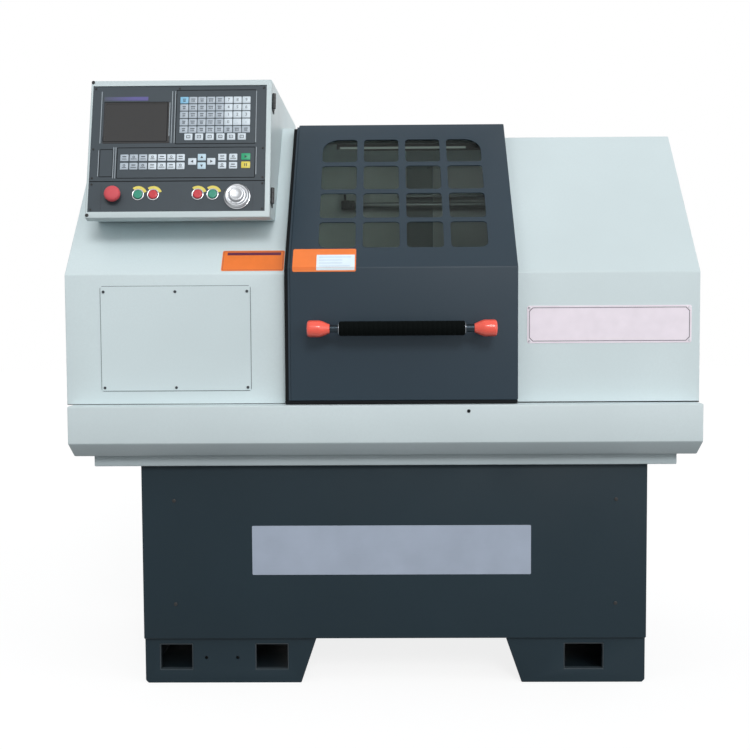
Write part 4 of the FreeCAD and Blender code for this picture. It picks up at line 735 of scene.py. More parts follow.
gridSizes = (("Columns", "Int"), ("Rows", "Int"), ("Pitch across", "Float"), ("Pitch up", "Float"))
keySizes = tuple((label, "Float") for label in ("Key width", "Key length", "Key height", "Corner radius"))
screwSizes = (("Head radius", "Float"), ("Head height", "Float"), ("Facing", "Vector"), ("Seed", "Int"))


def vector(tree, x=0.0, y=0.0, z=0.0):
    return step(tree, "ShaderNodeCombineXYZ", {0: x, 1: y, 2: z})


def moved(tree, shape, place):
    return step(tree, "GeometryNodeTransform", {"Geometry": shape, "Translation": place})


def startTree(name, sizes):
    tree = bpy.data.node_groups.new(name, "GeometryNodeTree")
    for label, kind in (("Geometry", "Geometry"), *sizes, ("Material", "Material")):
        tree.interface.new_socket(name=label, in_out="INPUT", socket_type="NodeSocket" + kind)
    tree.interface.new_socket(name="Geometry", in_out="OUTPUT", socket_type="NodeSocketGeometry")
    return tree, tree.nodes.new("NodeGroupInput").outputs


def endTree(tree, given, copies):
    real = step(tree, "GeometryNodeRealizeInstances", {"Geometry": copies})
    painted = step(tree, "GeometryNodeSetMaterial", {"Geometry": real, "Material": given["Material"]})
    step(tree, "NodeGroupOutput", {0: painted})
    return tree


def onGrid(tree, given, part):
    # copies of the part; the first one, low and on the left, is at the origin
    spans = [calc(tree, "MULTIPLY", calc(tree, "SUBTRACT", given[count], 1.0), given[pitch])
             for count, pitch in (("Columns", "Pitch across"), ("Rows", "Pitch up"))]
    grid = step(tree, "GeometryNodeMeshGrid", {"Size X": spans[0], "Size Y": spans[1],
                                               "Vertices X": given["Columns"], "Vertices Y": given["Rows"]})
    points = moved(tree, grid, vector(tree, *[calc(tree, "MULTIPLY", span, 0.5) for span in spans]))
    return step(tree, "GeometryNodeInstanceOnPoints", {"Points": points, "Instance": part})


def partFieldTree():
    tree, given = startTree("partField", gridSizes)
    return endTree(tree, given, onGrid(tree, given, given["Geometry"]))


def keyFieldTree():
    # keys with rounded corners and a crowned top
    tree, given = startTree("keyField", gridSizes + keySizes)
    outline = step(tree, "GeometryNodeCurvePrimitiveQuadrilateral", {"Width": given["Key width"],
                                                                     "Height": given["Key length"]})
    softened = step(tree, "GeometryNodeFilletCurve", {"Curve": outline, "Radius": given["Corner radius"],
                                                      "Count": 3}, mode="POLY")
    filled = step(tree, "GeometryNodeFillCurve", {"Curve": softened}, mode="NGONS")
    up = vector(tree, z=1.0)
    lower, upper = [calc(tree, "MULTIPLY", given["Key height"], share) for share in (0.6, 0.4)]
    body = step(tree, "GeometryNodeExtrudeMesh", {"Mesh": filled, "Offset": up, "Offset Scale": lower})
    cap = step(tree, "GeometryNodeExtrudeMesh", {"Mesh": body, "Selection": body.outputs["Top"], "Offset": up,
                                                 "Offset Scale": upper})
    crowned = step(tree, "GeometryNodeScaleElements", {"Geometry": cap, "Selection": cap.outputs["Top"],
                                                       "Scale": 0.90})
    under = step(tree, "GeometryNodeFlipFaces", {"Mesh": filled})
    closed = step(tree, "GeometryNodeJoinGeometry", {0: [crowned, under]})
    welded = step(tree, "GeometryNodeMergeByDistance", {"Geometry": closed, "Distance": 1e-6})
    return endTree(tree, given, onGrid(tree, given, welded))


def screwTree():
    # pan-head screws with a cross recess on every point, each spun by a random angle
    tree, given = startTree("panScrews", screwSizes)
    radius, height = given["Head radius"], given["Head height"]
    half, deep = [calc(tree, "MULTIPLY", height, share) for share in (0.5, 1.5)]
    top, slot = [calc(tree, "MULTIPLY", radius, share) for share in (0.72, 0.22)]
    skirt = step(tree, "GeometryNodeMeshCylinder", {"Vertices": 20, "Radius": radius, "Depth": height})
    crown = step(tree, "GeometryNodeMeshCone", {"Vertices": 20, "Radius Top": top, "Radius Bottom": radius,
                                                "Depth": half})
    head = step(tree, "GeometryNodeJoinGeometry", {0: [moved(tree, skirt, vector(tree, z=half)),
                                                       moved(tree, crown, vector(tree, z=height))]})
    bars = [step(tree, "GeometryNodeMeshCube", {"Size": vector(tree, x, y, height)})
            for x, y in ((radius, slot), (slot, radius))]
    cuts = moved(tree, step(tree, "GeometryNodeJoinGeometry", {0: bars}), vector(tree, z=deep))
    recessed = step(tree, "GeometryNodeMeshBoolean", {0: head, "Mesh 2": cuts, "Self Intersection": True},
                    operation="DIFFERENCE", solver="EXACT")
    aligned = step(tree, "FunctionNodeAlignRotationToVector", {"Vector": given["Facing"]}, axis="Z")
    copies = step(tree, "GeometryNodeInstanceOnPoints", {"Points": given["Geometry"], "Instance": recessed,
                                                         "Rotation": aligned})
    spin = step(tree, "FunctionNodeRandomValue", {"Seed": given["Seed"], 2: 0.0, 3: 3.14}, data_type="FLOAT")
    spun = step(tree, "GeometryNodeRotateInstances", {"Instances": copies,
                                                      "Rotation": vector(tree, z=spin.outputs[1])})
    return endTree(tree, given, spun)


keyTree, headTree, fieldTree = keyFieldTree(), screwTree(), partFieldTree()


def runTree(name, tree, mesh, values):
    # runs the tree on a mesh and returns the result as a plain mesh
    helper = addObject(name, mesh)
    modifier = helper.modifiers.new(name, "NODES")
    modifier.node_group = tree
    for item in tree.interface.items_tree:
        if item.in_out == "INPUT" and item.name in values:
            modifier[item.identifier] = values[item.name]
    result = meshNow(helper)
    helper.modifiers.remove(modifier)
    bpy.data.objects.remove(helper)
    result.name = name
    return result


def addScrews(name, spots, radius, height, material, body, place, seed, stands=()):
    # spots in the plane of the given place
    mesh = bpy.data.meshes.new(name)
    mesh.from_pydata([(place @ shift(*spot)).translation for spot in spots], [], [])
    result = runTree(name, headTree, mesh, {
        "Head radius": mm(radius), "Head height": mm(height), "Facing": place.to_3x3() @ Vector((0, 0, 1)),
        "Seed": seed, "Material": finish[material]})
    addPiece(name, merged(result, 0.005, 0.002), material, body, stands)


def addGrid(name, tree, mesh, place, columns, rows, pitchX, pitchY, material, body, stands=(), sizes=()):
    # the first part of the grid sits at the origin of the place
    result = runTree(name, tree, mesh, {"Columns": columns, "Rows": rows, "Pitch across": mm(pitchX),
                                        "Pitch up": mm(pitchY), "Material": finish[material], **dict(sizes)})
    result.transform(place)
    addPiece(name, result, material, body, stands)


def addField(name, place, columns, rows, pitchX, pitchY, material, *shapes):
    addGrid(name, fieldTree, meshOf(name, shapes), place, columns, rows, pitchX, pitchY, material, "machine")


def addRim(work, left, right, low, high, edge, radius, innerRadius, bottom, top, place, steps=5):
    # a flat ring with an even edge and rounded corners
    outer = roundedOutline(left, right, low, high, radius, steps)
    inner = roundedOutline(left + edge, right - edge, low + edge, high - edge, innerRadius, steps)
    addFrame(work, outer, inner, bottom, top, place)


def repaint(name, material, chosen):
    # a second material for the chosen faces of a piece
    mesh = bpy.data.objects[name].data
    mesh.materials.append(finish[material])
    for face in mesh.polygons:
        if chosen(face):
            face.material_index = 1


print("makers ready")

# every CAD node gets its slot's finish; pieces below take over the ones that are seen most

for node, thing in frame["nodes"].items():
    thing.data.materials.clear()
    thing.data.materials.append(finish["screw_thread" if node in ("z_screw", "x_screw") else slotOf[node]])

# sheet metal: covers, tray, cabinet and feet with bend radii and broken edges

sheetFold = {
    "left_cover": 2.6, "right_cover": 2.6, "rear_guard": 2.4, "chip_tray": 3.2, "lower_pan": 2.4,
    "base_cabinet": 2.6, "left_foot": 2.2, "right_foot": 2.2, "access_panel": 0.7, "control_box": 2.8,
    "control_lid": 2.8, "door_panel": 2.6,
}
# the lower pan takes a darker copy of the white: painted shade under the tray
sheetFinish = {"chip_tray": "tray_paint", "lower_pan": "pan_paint", "control_lid": "lid_paint"}
endPanel = (-385, 385, 748, 1008)  # left, right, low, high
endScrews = [(x, z) for x in (-370, 0, 370) for z in (763, 993)] + [(-370, 878), (370, 878)]
endSlots = {"left_cover": (leftEnd, (-350, -190)), "right_cover": (rightEnd, (60, 220))}


def sunk(mesh, place, starts):
    # the seam of a service panel, its countersunk screws and two rows of slots, cut into the sheet
    shapes = [(addRim, *endPanel, 2.4, 14, 11.6, -1.4, 1, place)]
    shapes += [(addTurned, [(0, -2), (5, -2), (5, 1), (0, 1)], place @ shift(*spot), 24) for spot in endScrews]
    shapes += [(addPlate, left, left + 130, low, low + 7, 3.4, -6, 1, place)
               for left in starts for low in range(1090, 1311, 22)]
    cutter, target = addObject("cutter", meshOf("cutter", shapes)), addObject("target", mesh)
    modifier = target.modifiers.new("cut", "BOOLEAN")
    modifier.operation = "DIFFERENCE"
    modifier.solver = "EXACT"
    modifier.object = cutter
    result = meshNow(target)
    for thing in (target, cutter):
        bpy.data.objects.remove(thing)
    return result


for node, fold in sheetFold.items():
    dress(node, fold, 0.5, sheetFinish.get(node), cut=endSlots.get(node))
for name, place in (("left_end_screws", leftEnd), ("right_end_screws", rightEnd)):
    addScrews(name, endScrews, 4.2, 1.2, "screw_steel", "machine", place @ shift(0, 0, -2), 8)
# the tray's down-facing faces get the darker white: painted shade under the tray
repaint("chip_tray_body", "pan_paint", lambda face: face.normal.z < -0.3)

# folded rims of the pallet windows, painted a little lighter than the feet as a painted highlight on the window
# edges
addSolid("foot_sleeves", "sleeve_paint", "machine",
         *[(addRim, left + 0.2, right - 0.2, 34.2, 100.8, 1.4, 1, 0.6, 350, 366.4, planeFrame((0, 0, 0)), 2)
           for left, right in ((-572, -488), (-330, -246), (449, 549))])
print("sheet pieces softened")

# castings and machined parts of the works

castFold = {
    "bed_casting": 2.5, "headstock_casting": 4.0, "saddle": 1.5, "cross_slide": 1.2, "tool_turret": 2.0,
    "tailstock_body": 3.0, "spindle_motor": 2.0, "coolant_tank": 1.5, "screw_brackets": 1.2,
    "turning_tools": 0.4, "chuck_body": 1.4, "chuck_jaw_1": 0.8, "chuck_jaw_2": 0.8, "chuck_jaw_3": 0.8,
}
for node, fold in castFold.items():
    dress(node, fold, 0, thin=2.5, segments=2)
print("castings softened")

# operator panel: film plate, raised lines, screen, keys and their marks; u to the right and v up the lid

panelFace = -2.5  # the film's face against the lid's
onPanel = lidFrame @ shift(0, 0, panelFace)
# the light-grey ribs are painted highlights where the edges of the panel's raised fields catch the light
ribs = ((28, 196, 332), (198.6, 214, 302), (204.5, 196, 332), (212, 196, 332), (414, 196, 332),
        (26.5, 110, 176), (63.5, 104, 184), (68.8, 104, 184), (416, 112, 182))  # u, low, high
softRibs = ((34.5, 214, 302), (36.5, 22, 88), (410, 22, 88))
frames = ((214, 414, 192, 336), (71.5, 414, 103, 184), (28.5, 62.5, 107, 180), (34, 194, 199, 305))
dress("operator_panel", 0, 0.3, "panel_film", "panel_plate")
addSolid("panel_ribs", "rib_grey", "lid",
         *[(addStrip, u, low, u, high, 1.8, 0, 0.9, onPanel) for u, low, high in ribs])
addSolid("panel_soft_ribs", "mark_dark", "lid",
         *[(addStrip, u, low, u, high, 1.3, 0, 0.6, onPanel) for u, low, high in softRibs])
addSolid("panel_lines", "seal_rubber", "lid",
         *[(addRim, *sides, 1.6, 3, 2, 0, 0.5, onPanel) for sides in frames],
         (addBlock, (6, 94.4, 0), (439, 96.6, 0.35), 0.1, onPanel))
addSolid("panel_strip", "badge_purple", "lid", (addPlate, 34, 144, 308.5, 318.5, 1.5, 0, 0.4, onPanel))
addSolid("screen_frame", "screen_black", "lid", (addFrame, roundedOutline(34.4, 198.6, 195.4, 304.6, 1.5),
                                                 roundedOutline(40, 192, 203, 300, 2.5), -2.4, 0.3, onPanel))
addSolid("screen_glass", "screen_glass", "lid", (addPlate, 37, 195, 198, 302, 2, -2.6, -1.3, onPanel))

keys = {"width": 20, "length": 17.2, "height": 1.2, "corner": 1.4}
pad = {"left": 224.5, "top": 317, "pitchX": 22.1, "pitchY": 19.6}
jog = {"u": 282, "v": 146, "reachU": 23.5, "reachV": 11}
jogWays = {"left": (-1, 0), "right": (1, 0), "up": (0, 1), "down": (0, -1)}


def addKeys(name, columns, rows, left, top, pitchX, pitchY, material, width=keys["width"],
            length=keys["length"]):
    # left and top on the lid's face, for the first key of the top row
    sizes = {"Key width": mm(width), "Key length": mm(length), "Key height": mm(keys["height"]),
             "Corner radius": mm(keys["corner"])}
    place = onPanel @ shift(left + width / 2, top - length / 2 - pitchY * (rows - 1))
    addGrid(name, keyTree, bpy.data.meshes.new(name), place, columns, rows, pitchX, pitchY, material, "lid",
            ["panel_keys"], sizes)


for name, columns, rows, column, row, material in (
        ("keys_letters", 5, 4, 0, 1, "key_plastic"), ("keys_letters_top", 4, 1, 1, 0, "key_plastic"),
        ("key_reset", 1, 1, 0, 0, "key_blue"), ("keys_figures", 3, 4, 5, 0, "key_light"),
        ("keys_edit", 3, 1, 5, 4, "key_plastic")):
    addKeys(name, columns, rows, pad["left"] + column * pad["pitchX"], pad["top"] - row * pad["pitchY"],
            pad["pitchX"], pad["pitchY"], material)
addKeys("keys_pages", 6, 1, 237, 219.5, 26.5, 20, "key_light")
addKeys("keys_mode", 3, 2, 80.6, 165.5, 23.2, 22, "key_plastic")
addKeys("keys_spindle", 4, 2, 150.2, 165.5, 23.2, 22, "key_light")
for way, (wayU, wayV) in jogWays.items():
    addKeys("key_jog_" + way, 1, 1, jog["u"] + jog["reachU"] * wayU - keys["width"] / 2,
            jog["v"] + jog["reachV"] * wayV + keys["length"] / 2, 20, 20, "key_sky" if wayV else "key_light")
addKeys("keys_coolant", 2, 2, 322.5, 165.5, 27, 21.5, "key_light")
addKeys("key_start", 1, 1, 379.5, 166.5, 20, 20, "key_green", 22, 17)
addKeys("key_hold", 1, 1, 379.5, 145, 20, 20, "key_yellow", 22, 17)

onKeys = onPanel @ shift(0, 0, keys["height"])
figures = ("789", "456", "123", "0.-")
marks = []


def ink(maker, *sizes):
    marks.append((maker, *sizes, 0, 0.12, onKeys))


def keyCentres(left, top, columns, rows, pitchX, pitchY):
    return [(row, column, left + pitchX * column + keys["width"] / 2, top - pitchY * row - keys["length"] / 2)
            for row in range(rows) for column in range(columns)]


for row, column, u, v in keyCentres(pad["left"], pad["top"], 8, 5, pad["pitchX"], pad["pitchY"]):
    if column > 4 and row < 4:
        marks.append((addMark, figures[row][column - 5], 11, 0.12, onKeys @ shift(u, v)))
        continue
    wide = 6.5 + (row * 5 + column * 3) % 5
    ink(addStrip, u - wide / 2, v + 2.6, u + wide / 2, v + 2.6, 2.0)
    for middle in (u - wide * 0.34, u, u + wide * 0.34):
        ink(addStrip, middle, v - 4.2, middle, v - 0.8, 1.5)
for row, column, u, v in keyCentres(237, 219.5, 6, 1, 26.5, 20):
    ink(addRim, u - 5, u + 5, v - 4, v + 4, 1.4, 0.8, 0.5)
    ink(addStrip, u - 2, v + (column % 3) - 1, u + 2, v + (column % 3) - 1, 0.8)
for row, column, u, v in keyCentres(80.6, 165.5, 7, 2, 23.2, 22) + keyCentres(322.5, 165.5, 2, 2, 27, 21.5):
    wide = 4.5 + (row * 3 + column * 5) % 3
    ink(addStrip, u - wide, v - 3.4, u + wide, v - 3.4, 1.7)
    if (row + column) % 2:
        ink(addRim, u - 3.2, u + 3.2, v - 1, v + 4.8, 1.4, 2.8, 1.4)
    else:
        ink(addStrip, u - 4, v + 2.6, u + 4, v + 2.6, 2.4)
for wayU, wayV in jogWays.values():
    # an arrow head that points away from the middle
    u, v = jog["u"] + jog["reachU"] * wayU, jog["v"] + jog["reachV"] * wayV
    ink(addPrism, [(u + wayU * ahead - wayV * aside, v + wayV * ahead + wayU * aside)
                   for ahead, aside in ((4, 0), (-2.5, 3.6), (-2.5, -3.6))])
ink(addPrism, [(394, 158), (387.5, 161.8), (387.5, 154.2)])
for u in (388.3, 392.7):
    ink(addStrip, u, 133.5, u, 139.5, 1.8)
addSolid("key_marks", "mark_dark", "lid", *marks)

# push buttons with shiny rims, blank arc labels, stop button and pulse handwheel

controls = {"v": 60.5, "places": (128, 165, 274.5, 311), "stop": (68, 58), "wheel": (371.5, 54)}
buttonSpots = [(u, controls["v"]) for u in controls["places"]]
buttonNames = ("left_green_button", "left_red_button", "right_red_button", "right_green_button")
rimShape = [(11.4, -15), (13, -15), (13, 0), (15, 0), (15, 1.6), (14.7, 2.4), (14.0, 2.9), (13.2, 3),
            (12.3, 2.7), (11.6, 2.0), (11.4, 1.0), (11.4, -15)]
baseShape = [(11.4, -15), (13, -15), (13, 0), (33, 0), (33, 2.6), (32.2, 3.7), (31.4, 4), (12, 4), (11.4, 3.6),
             (11.4, -15)]
capShape = [(0, -10), (11, -10), (11, 3.2), (10.7, 4.1), (9.9, 4.8), (8.4, 5), (4, 4.8), (0, 4.75)]
stopShape = [(0, -10), (11, -10), (11, 8.5), (16, 10.9), (18.8, 11.6), (19.8, 13), (20, 15), (19.6, 18.6),
             (18, 21.4), (15.2, 23.2), (10, 24), (0, 24)]
wheelShape = [(0, -14), (8, -14), (8, 0.2), (30.2, 0.2), (31, 1), (31, 4.2), (30.4, 5), (28.6, 7.6),
              (27.6, 8.6), (26.4, 9), (24.8, 8.7), (23.6, 8), (19.6, 8), (18.4, 8.4), (17.9, 9.2), (17.6, 16.2),
              (16.9, 17.4), (15.4, 18), (13.6, 18), (12.6, 17.4), (4.4, 17.2), (0, 17.1)]
addSolid("button_rims", "chrome", "lid",
         *[(addTurned, rimShape, onPanel @ shift(*spot), 48) for spot in buttonSpots + [controls["stop"]]],
         (addTurned, baseShape, onPanel @ shift(*controls["wheel"]), 72), stands=["button_bezels"])
for name, spot in zip(buttonNames, buttonSpots):
    addSolid(name + "_cap", slotOf[name], bodyOf[name], (addTurned, capShape, onPanel @ shift(*spot)),
             stands=[name])
arcs = [[onCircle(22.2, 20 + 9 * turn, *spot) for turn in range(13)]
        + [onCircle(15.3, 128 - 9 * turn, *spot) for turn in range(13)] for spot in buttonSpots]
addSolid("button_labels", "label_yellow", "lid", *[(addPrism, arc, 0, 0.5, onPanel) for arc in arcs])
addSolid("stop_head", "stop_red", "stop_button", (addTurned, stopShape, onPanel @ shift(*controls["stop"]), 64),
         stands=["emergency_stop"])

wheelPlace = onPanel @ shift(*controls["wheel"], 4.3)
wheelMarks = []
for tick in range(100):
    # the ticks lie on the dial's sloping shoulder
    turn = wheelPlace @ turned(-3.6 * tick, "Z")
    reach = 1.7 if tick % 10 else 2.8
    wheelMarks.append((addBlock, (-0.22, -reach / 2, -0.02), (0.22, reach / 2, 0.14), 0,
                       turn @ shift(0, 28.6, 7.6) @ turned(-47, "X")))
    if tick % 10 == 0:
        wheelMarks.append((addMark, str(tick), 3.6, 0.1, turn @ shift(0, 21.7, 8.02)))
addSolid("pulse_wheel_dial", "dial_alloy", "pulse_wheel", (addTurned, wheelShape, wheelPlace, 96),
         stands=["pulse_handwheel"])
addSolid("pulse_wheel_marks", "mark_dark", "pulse_wheel", *wheelMarks)
addSolid("pulse_wheel_knurl", "dial_alloy", "pulse_wheel",
         *[(addBlock, (-0.35, 17.2, 9.6), (0.35, 18.1, 16), 0.15, wheelPlace @ turned(6 * rib, "Z"), 1)
           for rib in range(60)])

# lid fixings: screws on the left edge and in the panel
addScrews("lid_screws", [(5.2, 356.7), (5.3, 7.4)], 4.2, 1.6, "screw_black", "lid", lidFrame, 3)
addScrews("panel_fixings", [(12.5, 340), (12.5, 180), (12.5, 104), (432.5, 340), (432.5, 180), (432.5, 104),
                            (12.5, 88), (12.5, 23), (432.5, 88), (432.5, 23), (222, 340)],
          2.6, 1.0, "screw_black", "lid", onPanel, 4)
print("operator panel made")

# door: handle, label, black strips in the door's gaps: partly seals, partly painted shade

handle = {"y": -489, "z": 898, "left": -183, "right": 269}
alongX = shift(0, handle["y"], handle["z"]) @ turned(90, "Y")
gripShape = [(9.2, -106.5), (14.5, -106.5), (16.6, -105.7), (17.5, -103.5)]
for ring in range(25):
    middle = -96 + 11.6 * ring
    gripShape += [(17.5, middle - 1.0), (17.2, middle - 0.5), (17.2, middle + 0.5), (17.5, middle + 1.0)]
gripShape += [(17.5, 189.5), (16.6, 191.7), (14.5, 192.5), (9.2, 192.5), (9.2, -106.5)]
collarShape = [(9.1, 0), (13.6, 0), (14.2, 0.5), (14.2, 1.8), (13.6, 2.3), (9.1, 2.3), (9.1, 0)]
endShape = [(0, 0), (13.4, 0), (16.2, 0.7), (18.6, 2.6), (19.7, 5.2), (20, 8), (20, 28), (19.7, 31),
            (18.8, 34.4), (17.1, 39), (14.9, 44), (12.6, 49), (11.2, 52.4), (10.4, 53.7), (9.6, 54), (9.1, 54),
            (9.1, 30), (0, 30)]
postShape = [(0, 0), (11, 0), (11, 33), (12.2, 36.5), (14, 39), (14, 39.6), (0, 39.6)]
addSolid("grip_sleeve", "grip_rubber", "door", (addTurned, gripShape, alongX, 48), stands=["handle_grip"])
# the tube's dark chrome is a painted reflection of the door
addSolid("handle_tube", "chromed_tube", "door",
         (addTurned, [(0, -128.8), (9, -128.8), (9, 214.8), (0, 214.8)], alongX), stands=["door_handle"])
addSolid("grip_collars", "collar_alloy", "door",
         *[(addTurned, collarShape, alongX @ shift(0, 0, start)) for start in (-108.9, 192.6)])
caps = []
for start, way in ((handle["left"], 1), (handle["right"], -1)):
    foot = shift(start + 21 * way, handle["y"] + 12, handle["z"])
    caps += [(addTurned, endShape, shift(start, handle["y"], handle["z"]) @ turned(90 * way, "Y"), 48),
             (addTurned, postShape, foot @ turned(-90, "X"), 36)]
addSolid("handle_caps", "orange_plastic", "door", *caps, stands=["handle_ends"])


def sideStrip(work, left, right, setBack, deep, top):
    # a strip that follows the door's side: upright below the fold, sloping above it
    rows = []
    for depth in (setBack, deep):
        y, bend = doorLow.y + depth, foldZ - depth * math.tan(slopeTurn / 2)
        rows.append([(y, doorLow.z + 0.5), (y, bend), (y + (top - bend) * math.tan(slopeTurn), top)])
    outline = rows[0] + rows[1][::-1]
    ends = [[work.verts.new((mm(x), mm(y), mm(z))) for y, z in outline] for x in (left, right)]
    skin(work, *ends)
    for row in ends:
        work.faces.new((row[0], row[1], row[4], row[5]))
        work.faces.new((row[1], row[2], row[3], row[4]))


coverEdge = corners("left_cover")[1].x
hem = doorLow.x - 4.6
addSolid("door_hem", "door_paint", "door", (sideStrip, hem, doorLow.x - 0.05, 1.2, 33, doorHigh.z - 6),
         smoothAngle=25)
# black strips left of and below the door: partly seals, partly painted shade in the gaps round the door
addSolid("door_seals", "seal_rubber", "door", (sideStrip, coverEdge + 0.4, hem - 0.1, 9, 33, doorHigh.z - 9),
         (addBlock, (coverEdge + 0.4, -434, doorLow.z - 8.8), (doorHigh.x - 0.5, -405, doorLow.z - 0.1), 1.5),
         smoothAngle=25)


def bentPlate(work, left, right, low, high, radius, bottom, top):
    # a sticker that runs over the door's fold: one part on the slope, one on the front
    upper = roundedOutline(left, right, -20, high, radius)
    addPrism(work, [(x, max(y, 0)) for x, y in upper], bottom, top, doorSlope)
    lower = roundedOutline(left, right, low, 20, radius)
    addPrism(work, [(x, min(y, 0)) for x, y in lower], bottom, top, doorFront)


field = {"left": -163, "right": -70, "low": -7, "high": 42}
addSolid("door_label", "label_orange", "door", (bentPlate, -221, -67, -10.5, 62, 4, 0, 0.5))
addSolid("door_label_field", "label_white", "door", (bentPlate, *field.values(), 1, 0.5, 0.65))
ruleLength = field["right"] - field["left"] - 10
addSolid("door_label_rules", "label_rule", "door",
         *[(addStrip, field["left"] + 6, 4 + 10 * line, field["left"] + 6 + ruleLength * reach, 4 + 10 * line,
            0.9, 0.65, 0.75, doorSlope) for line, reach in enumerate((0.90, 0.68, 0.68, 0.94))])
print("door made")

# plates: blank labels on the left cover and on the right cover, bare plate on the cabinet

plate = {"left": 350.5, "right": 752, "low": 858, "high": 950}


def cutCorners(edge, cut):
    # the plate's outline moved in by the edge, with its corners cut off
    left, right, low, high = [side + edge * way for side, way in zip(plate.values(), (1, -1, 1, -1))]
    return [(right, low + cut), (right, high - cut), (right - cut, high), (left + cut, high),
            (left, high - cut), (left, low + cut), (left + cut, low), (right - cut, low)]


addSolid("cover_label", "label_orange", "machine", (addPlate, -400, -246, 9.5, 79, 4, 0, 0.5, coverSlope))
addSolid("cover_label_head", "label_purple", "machine",
         (addPlate, -388, -255, 63, 72.4, 1, 0.5, 0.65, coverSlope))
addSolid("cover_label_line", "label_line", "machine",
         (addRim, -397.5, -248.5, 12, 76.5, 1.2, 3, 2.4, 0.5, 0.62, coverSlope))
addSolid("cover_plate", "plate_white", "machine", (addPlate, *plate.values(), 5, 0, 1.0, coverFace))
addSolid("cover_plate_line", "plate_line", "machine",
         (addFrame, cutCorners(4.4, 9), cutCorners(6.2, 8.2), 1.0, 1.15, coverFace))
addScrews("cover_plate_screws", [(x, z, 1.0) for x in (plate["left"] + 5.5, plate["right"] - 5.5)
                                 for z in (plate["low"] + 5.5, plate["high"] - 5.5)],
          2.6, 1.2, "chrome", "machine", coverFace, 5)
addSolid("cabinet_plate", "plate_alloy", "machine", (addPlate, -333, 364, 280, 404, 3, 0, 0.8, cabinetFace))

# screws of the access panel and of the cabinet front

accessLow, accessHigh = corners("access_panel")
accessSpots = [(x, z) for x in (accessLow.x + 7.5, (accessLow.x + accessHigh.x) / 2, accessHigh.x - 7.5)
               for z in (accessLow.z + 7.5, accessHigh.z - 13)]
addScrews("access_screws", accessSpots, 3.5, 1.4, "screw_dark", "machine", planeFrame((0, accessLow.y, 0)), 6,
          ["panel_screws"])
addScrews("cabinet_screws", [(x, z) for x in (-527.5, 575.5) for z in (206, 468)], 4.6, 1.4, "screw_black",
          "machine", cabinetFace, 7, ["panel_screws"])

# joints between sheets: dark lines at the foot of the covers, partly painted shade, and round the access panel

rightLow, rightHigh = corners("right_cover")
leftLow, leftHigh = corners("left_cover")
seamZ = rightLow.z
# black strips at the foot of the covers: partly gaskets, partly painted shade in the seam
addSolid("cover_gaskets", "seal_rubber", "machine",
         (addBlock, (rightLow.x + 26, rightLow.y - 1.2, seamZ), (rightHigh.x - 1, rightLow.y, seamZ + 2.6),
          0.3),
         (addBlock, (leftLow.x + 1, leftLow.y - 0.5, seamZ), (leftHigh.x - 1, leftLow.y, seamZ + 1.5), 0.2))
addSolid("access_gasket", "seam_grey", "machine",
         (addRim, accessLow.x - 1.5, accessHigh.x + 1.5, accessLow.z - 1.5, accessHigh.z + 1.5, 4.5, 7, 2, 0,
          0.6, coverFace))
addSolid("tray_plug", "seal_rubber", "machine",
         (addTurned, [(0, 0), (4.2, 0), (4.2, 1.2), (3.2, 1.8), (0, 1.8)], planeFrame((204, -455, 697)), 24))
print("screws and seams made")

# work room: light, liner panels, coolant pipe with its tap

lampLow, lampHigh = corners("work_light")
tube = {"left": -121, "right": 227, "low": 1385.4, "high": 1391.2}
addSolid("lamp_housing", "black_metal", "machine", (addBlock, lampLow, lampHigh, 2.2, Matrix(), 3),
         stands=["work_light"])
addSolid("lamp_lens", "lens_glow", "machine",
         (addBlock, (tube["left"], lampLow.y - 2.2, tube["low"]), (tube["right"], lampLow.y + 5, tube["high"]),
          1.6, Matrix(), 3))
addSolid("lamp_tube", "tube_glow", "machine",
         (addBlock, (lampLow.x + 6, lampHigh.y + 0.1, lampLow.z + 2),
          (lampHigh.x - 6, lampHigh.y + 3, lampHigh.z - 2), 0.8))
addSolid("lamp_ends", "black_metal", "machine",
         *[(addBlock, (x, lampLow.y - 3, tube["low"] - 1), (x + 9, lampLow.y + 6, tube["high"] + 1), 1)
           for x in (tube["left"] - 9, tube["right"])],
         (addBlock, (tube["left"] - 9, lampLow.y + 6, tube["low"]), (lampLow.x, lampLow.y + 14, lampHigh.z), 1))

guardLow, guardHigh = corners("rear_guard")
backWall = guardHigh.y - 3
boltShape = [(0, 0), (5, 0), (5, 1.6), (3.8, 2.6), (0, 2.6)]
for name, left, right, material in (("liner_left", guardLow.x + 6, 69, "liner_green"),
                                    ("liner_middle", 69.6, 153, "liner_dark"),
                                    ("liner_right", 153.6, guardHigh.x + 160, "liner_grey")):
    addSolid(name, material, "machine", (addBlock, (left, backWall - 1.6, 830), (right, backWall, 1402), 0.7),
             *[(addTurned, boltShape, planeFrame((x, backWall - 1.5, z)), 16)
               for z in (850, 1105, 1385) for x in (left + 14, right - 14)])

